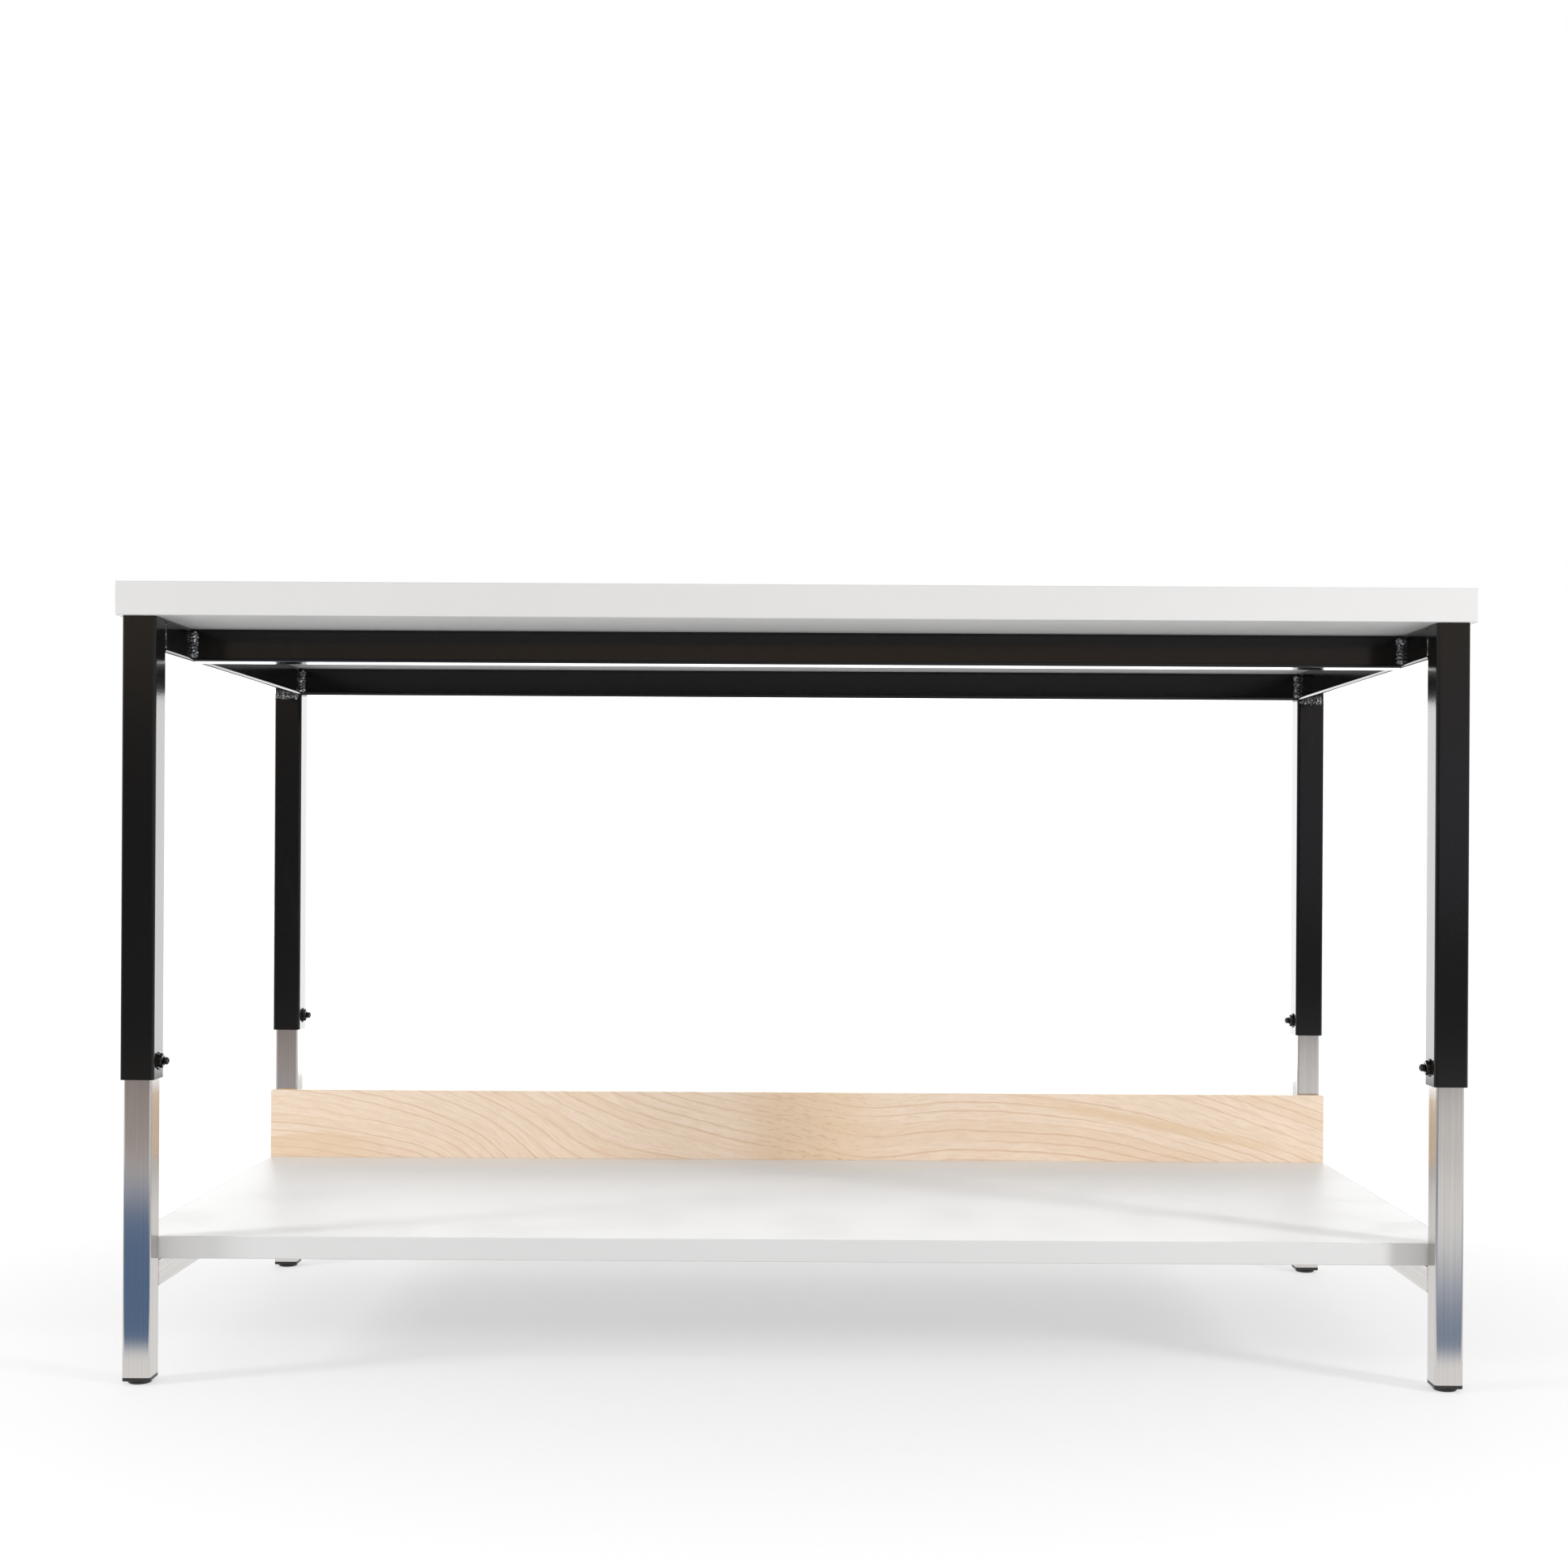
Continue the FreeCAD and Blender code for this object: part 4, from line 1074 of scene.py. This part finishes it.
class TABLE_OT_lock_nut_welds(bpy.types.Operator):
    """Lay the tack welds between the lock nuts' upper and lower corners and the sleeves"""

    bl_idname = "assembly_table.lock_nut_welds"
    bl_label = "Lock nut welds"

    def execute(self, context):
        node = "lock_nut_welds"
        leg = heights(node)[1] - middle(node).z - nut_corner()
        root, run, fill = 1.7 * MM, 5.8 * MM, 0.9
        reach = fill * (leg + root)
        tack = fillet_bead("tack", reach, run, details().tack_ripple, 80)
        squash = Matrix.Diagonal((1, fill * leg / reach, 1, 1))
        tack.data.transform(moved(nut_corner() - root, run / 2, 0, (90, 0, 0)) @ squash)
        combine(tack, nut_blank("blank", -MM, details().nut_high), "DIFFERENCE")
        shade(tack, BEAD_ANGLE)
        spots = [spot @ rotated(0, 0, turn) for spot in lock_places() for turn in (0, 180)]
        fit_out(copies("lock_nut_tacks", tack, spots), node, "upper_frame", "painted_weld")
        return {"FINISHED"}


def wood_screw(name, run):
    """A flat head wood screw along Z, its head's face at zero: cross recess, shank and thread."""
    sizes = details()
    head, radius = sizes.screw_head_radius, sizes.screw_radius
    shank, root = radius * 0.82, radius * 0.66
    rim, start, end = 0.3 * MM, run * 0.38, run - 5 * MM
    recess, deepest = (5.0 * MM, 1.0 * MM, 3.2 * MM), 1.7 * MM
    ridge = thread(radius, sizes.screw_pitch, start, end, 16)[0]
    body = turned(name, [
        (head - 0.25 * MM, 0.0), (head, 0.12 * MM), (head, rim), (shank, rim + head - shank),
        (shank, start), (root, start + 0.8 * MM), (root, end), (root * 0.12, run - 0.2 * MM),
    ], 32)
    for turn in (0, 90):
        slot = block("slot", recess, (0, 0, 0.1 * MM))
        start_edit(slot)
        pick(slot, "faces", lambda face: face.normal.z > 0.9)
        bpy.ops.transform.resize(value=(0.35, 0.7, 1), center_override=(0, 0, deepest))
        end_edit()
        slot.data.transform(rotated(0, 0, turn))
        combine(body, slot, "DIFFERENCE")
    return threaded(name, body, ridge)


def wood_screws(node, run, body, spots):
    screws = copies(node[:-1] + "_set", wood_screw("screw", run), spots)
    fit_out(screws, node, body, "zinc_plated_steel")


class TABLE_OT_tabletop_screws(bpy.types.Operator):
    """Make the long screws that hold the worktop to the cross rails"""

    bl_idname = "assembly_table.tabletop_screws"
    bl_label = "Worktop screws"

    def execute(self, context):
        low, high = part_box("tabletop_screws")
        reach = high.x - details().screw_head_radius
        rows = [middle("upper_rail_front").y, middle("upper_rail_rear").y]
        spots = [moved(x, y, low.z) for y in rows for x in (-reach, 0, reach)]
        wood_screws("tabletop_screws", high.z - low.z, "upper_frame", spots)
        return {"FINISHED"}


class TABLE_OT_shelf_screws(bpy.types.Operator):
    """Make the screws that hold the shelf to the lower side rails"""

    bl_idname = "assembly_table.shelf_screws"
    bl_label = "Shelf screws"

    def execute(self, context):
        low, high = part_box("shelf_screws")
        reach = high.y - details().screw_head_radius
        columns = [middle("lower_side_rail_left").x, middle("lower_side_rail_right").x]
        spots = [moved(x, y, low.z) for x in columns for y in (-reach, 0, reach)]
        wood_screws("shelf_screws", high.z - low.z, "lower_frame", spots)
        return {"FINISHED"}


class TABLE_OT_board_screws(bpy.types.Operator):
    """Make the screws that hold the back board to the rear legs"""

    bl_idname = "assembly_table.board_screws"
    bl_label = "Back board screws"

    def execute(self, context):
        low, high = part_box("back_board_screws")
        head = details().screw_head_radius
        columns = [middle("lower_leg_rear_left").x, middle("lower_leg_rear_right").x]
        rows = (low.z + head, high.z - head)
        spots = [moved(x, high.y, z, (90, 0, 0)) for x in columns for z in rows]
        wood_screws("back_board_screws", high.y - low.y, "lower_frame", spots)
        return {"FINISHED"}


# ---------------------------------------------------------------- feet


def foot_cap(name, low, high):
    """A cap: an eased flange, and a ribbed plug with a bore for the bush and the stud."""
    wide, seam = (high - low).x, heights("lower_leg_front_left")[0]
    corner_round, edge_round, plug_round, plug_ease = 3.2 * MM, 0.35 * MM, 1.2 * MM, 0.8 * MM
    rib_wide, rib_high, first_rib, rib_step = 25.65 * MM, 1.4 * MM, 3.5 * MM, 4.6 * MM
    plug_wide = rib_wide - MM
    flange = block(name, (wide, wide, seam - low.z), (0, 0, (seam + low.z) / 2))
    bevel(flange, is_upright, corner_round, 5)
    bevel(flange, is_level, edge_round, 2)
    plug_size = (plug_wide, plug_wide, high.z - seam + MM)
    plug = block("plug", plug_size, (0, 0, (high.z + seam - MM) / 2))
    bevel(plug, is_upright, plug_round)
    bevel(plug, lambda edge: is_level(edge) and edge_height(edge) > seam, plug_ease, 2)
    combine(flange, plug, "UNION")
    for step in range(4):
        z = seam + first_rib + rib_step * step
        rib = block("rib", (rib_wide, rib_wide, rib_high), (0, 0, z))
        bevel(rib, is_upright, plug_round)
        combine(flange, rib, "UNION")
    stud, lead = details().stud_radius + 0.2 * MM, 0.6 * MM
    bush, seat = 6.375 * MM, high.z - 18.0 * MM
    bore = turned("bore", [
        (stud + lead, low.z - MM), (stud + lead, low.z + 0.1 * MM), (stud, low.z + 0.1 * MM + lead),
        (stud, seat), (bush, seat), (bush, high.z + MM),
    ], 40)
    combine(flange, bore, "DIFFERENCE")
    shade(flange, EDGE_ANGLE)
    return flange


class TABLE_OT_foot_caps(bpy.types.Operator):
    """Make the four plastic caps in the legs' lower ends"""

    bl_idname = "assembly_table.foot_caps"
    bl_label = "Foot caps"

    def execute(self, context):
        pattern = foot_cap("foot_cap", *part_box("foot_cap_front_left"))
        four_corners(pattern, "foot_cap", "black_plastic", "lower_frame")
        return {"FINISHED"}


class TABLE_OT_glide_pads(bpy.types.Operator):
    """Make the four round glide pads"""

    bl_idname = "assembly_table.glide_pads"
    bl_label = "Glide pads"

    def execute(self, context):
        low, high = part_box("glide_pad_front_left")
        radius, top = (high.x - low.x) / 2, high.z
        stud, pocket, roof = details().stud_radius + 0.1 * MM, 7.6 * MM, 3.0 * MM
        hollow = 0.45 * MM
        pattern = turned("glide_pad", [
            (pocket, 1.1 * MM), (pocket, roof), (stud, roof), (stud, top),
            (radius - 2.2 * MM, top), (radius - 1.2 * MM, top - 0.12 * MM),
            (radius - 0.4 * MM, top - 0.55 * MM), (radius - 0.05 * MM, top - 1.2 * MM),
            (radius, top - 1.9 * MM), (radius - 0.1 * MM, 1.2 * MM), (radius - 0.5 * MM, 0.5 * MM),
            (radius - 1.0 * MM, 0.15 * MM), (radius - 1.7 * MM, 0.0), (9.6 * MM, 0.0),
            (9.0 * MM, hollow), (3.0 * MM, hollow),
        ], 72)
        shade(pattern)
        four_corners(pattern, "glide_pad", "black_plastic")
        return {"FINISHED"}


class TABLE_OT_glide_studs(bpy.types.Operator):
    """Make the four threaded glide studs"""

    bl_idname = "assembly_table.glide_studs"
    bl_label = "Glide studs"

    def execute(self, context):
        sizes = details()
        low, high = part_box("glide_stud_front_left")
        head = (high.x - low.x) / 2
        neck = heights("glide_pad_front_left")[1] - 1.2 * MM
        ease, end = 0.3 * MM, 0.6 * MM
        ridge, root = thread(
            sizes.stud_radius, sizes.stud_pitch, neck + 0.2 * MM, high.z - 0.4 * MM, 24
        )
        body = turned("glide_stud", [
            (head - ease, low.z), (head, low.z + ease), (head, neck - ease), (head - ease, neck),
            (root, neck), (root, high.z - end), (root - end, high.z),
        ], 40)
        four_corners(threaded("glide_stud", body, ridge), "glide_stud", "zinc_plated_steel")
        return {"FINISHED"}


# ---------------------------------------------------------------- studio


def studio_floor():
    """A pale floor that fades to white around its shadow; gloss sees it lit from behind."""
    setup = studio()
    floor = primitive("studio_floor", bpy.ops.mesh.primitive_plane_add, size=setup.floor_size)
    made = Finish("studio_floor", roughness=0.9, ior=1.3)
    made.set(base_color=setup.floor_colour)
    x, y = made.axes(made.place())[:2]
    # how far from the middle, counted longer along Y
    away = (1.56 * x * x + 2.56 * y * y) ** 0.5
    far = made.smooth(away, 0.5, 2.6)
    fade = setup.floor_glow + (1 - setup.floor_glow) * far
    # what gloss sees in front: two blue sheets, then a warmer floor, then the dark room
    ahead = y * -1.0
    sheet_start, sheet_side = (0.46, 0.58), (1.8, 2.4)
    left_end, right_end = (1.35, 2.0), (0.60, 1.45)
    left = made.smooth(x * -1.0, -0.4, 0.4)
    blue_left = left * (1 - made.smooth(ahead, *left_end))
    blue_right = (1 - left) * 0.82 * (1 - made.smooth(ahead, *right_end))
    blue = made.smooth(ahead, *sheet_start) * (blue_left + blue_right)
    blue = blue * (1 - made.smooth(x.math("ABSOLUTE"), *sheet_side))
    warm = made.smooth(ahead, 1.3, 2.3) * (0.35 + 0.65 * left)
    glow = made.mix(warm, WHITE, setup.front_floor)
    glow = made.mix(blue, glow, setup.blue_floor)
    glow = made.mix(made.smooth(ahead, 3.2, 4.4), glow, setup.dark_room)
    plain, lit = made.glow(WHITE, setup.floor_white), made.glow(glow, 1.0)
    look = made.blend(made.rays("Camera") * fade, made.out(made.shader), plain)
    look = made.blend(made.rays("Glossy", "Transmission") * 0.92, look, lit)
    made.feed(made.tree.nodes["Material Output"].inputs[0], look)
    floor.data.materials.append(made.material)


def area_lamp(name, spot, aim, wide, high, power):
    """A lamp the camera doesn't see."""
    data = bpy.data.lights.new(name, "AREA")
    data.shape = "RECTANGLE"
    data.size, data.size_y = wide, high
    data.energy = power
    lamp = bpy.data.objects.new(name, data)
    bpy.context.scene.collection.objects.link(lamp)
    lamp.location = spot
    lamp.rotation_euler = (Vector(aim) - Vector(spot)).to_track_quat("-Z", "Y").to_euler()
    lamp.visible_camera = False
    return lamp


def studio_world():
    """White to the camera, even pale light, and to gloss a white set before a dim room."""
    setup = studio()
    world = bpy.data.worlds.new("studio_world")
    bpy.context.scene.world = world
    world.use_nodes = True
    made = Nodes(world.node_tree)
    x, y, z = made.axes(made.out(made.add("ShaderNodeTexCoord"), "Generated"))
    behind = made.smooth(y, -0.6, -0.1)
    low_room = made.mix(made.smooth(x, 0.05, 0.3), setup.dark_room, setup.right_room)
    middle_room = 1 - made.smooth(x.math("ABSOLUTE"), 0.06, 0.24)
    high_room = made.mix(middle_room, setup.warm_room, setup.warm_middle)
    room = made.mix(made.smooth(z, 0.04, 0.12), low_room, high_room)
    gloss = made.mix(behind, room, WHITE)
    sky = made.mix(made.rays("Glossy"), (setup.sky,) * 3, gloss)
    seen = made.mix(made.rays("Camera", "Transmission"), sky, WHITE)
    made.feed(world.node_tree.nodes["Background"].inputs["Color"], seen)


class TABLE_OT_studio(bpy.types.Operator):
    """Set up the floor, the lamps, the surroundings and the camera"""

    bl_idname = "assembly_table.studio"
    bl_label = "Studio"

    def execute(self, context):
        setup = studio()
        scene = context.scene
        scene.view_settings.view_transform = "Standard"
        studio_floor()
        studio_world()
        aim, side = (0, 0, 0.5), setup.lamp_size
        for name, spot, power in (
            ("left_softbox", setup.left_lamp_place, setup.left_lamp_power),
            ("right_softbox", setup.right_lamp_place, setup.right_lamp_power),
        ):
            softbox = area_lamp(name, spot, aim, side, side, power)
            softbox.visible_glossy = False
        wide, high = setup.back_panel_wide, setup.back_panel_high
        spot, aim = (0, setup.back_panel_y, high / 2), (0, 0, high / 2)
        panel = area_lamp("back_panel", spot, aim, wide, high, setup.back_panel_power)
        panel.visible_diffuse = False
        data = bpy.data.cameras.new("camera")
        data.sensor_width = SENSOR_WIDTH
        data.lens = setup.camera_lens
        data.shift_x = setup.camera_shift_x
        data.shift_y = setup.camera_shift_y
        camera = bpy.data.objects.new("camera", data)
        scene.collection.objects.link(camera)
        camera.location = setup.camera_place
        camera.rotation_euler = [math.radians(a) for a in (90, setup.camera_roll, setup.camera_yaw)]
        scene.camera = camera
        return {"FINISHED"}


# ---------------------------------------------------------------- add-on


OPERATORS = (
    TABLE_OT_studio,
    TABLE_OT_finishes,
    TABLE_OT_cross_rail_welds,
    TABLE_OT_under_rail_welds,
    TABLE_OT_side_rail_welds,
    TABLE_OT_lower_rail_welds,
    TABLE_OT_lock_screws,
    TABLE_OT_lock_nuts,
    TABLE_OT_lock_nut_welds,
    TABLE_OT_tabletop_screws,
    TABLE_OT_shelf_screws,
    TABLE_OT_board_screws,
    TABLE_OT_foot_caps,
    TABLE_OT_glide_pads,
    TABLE_OT_glide_studs,
)


class TABLE_PT_builder(bpy.types.Panel):
    """Buttons for each group of pieces, and their sizes and colours"""

    bl_label = "Assembly Table"
    bl_space_type = "VIEW_3D"
    bl_region_type = "UI"
    bl_category = "Assembly Table"

    def draw(self, context):
        layout = self.layout
        for operator in OPERATORS:
            layout.operator(operator.bl_idname)
        for group in (studio(), finishes(), details()):
            box = layout.box()
            for key in group.bl_rna.properties.keys():
                if key not in ("rna_type", "name"):
                    box.prop(group, key)


GROUPS = (StudioSettings, FinishSettings, DetailSettings)
CLASSES = (*GROUPS, *OPERATORS, TABLE_PT_builder)


def register():
    for item in CLASSES:
        bpy.utils.register_class(item)
    bpy.types.Scene.table_studio = PointerProperty(type=StudioSettings)
    bpy.types.Scene.table_finishes = PointerProperty(type=FinishSettings)
    bpy.types.Scene.table_details = PointerProperty(type=DetailSettings)


def unregister():
    del bpy.types.Scene.table_studio
    del bpy.types.Scene.table_finishes
    del bpy.types.Scene.table_details
    for item in reversed(CLASSES):
        bpy.utils.unregister_class(item)


def main():
    register()
    for operator in OPERATORS:
        name = operator.bl_idname.split(".")[1]
        getattr(bpy.ops.assembly_table, name)()


if __name__ == "__main__":
    main()
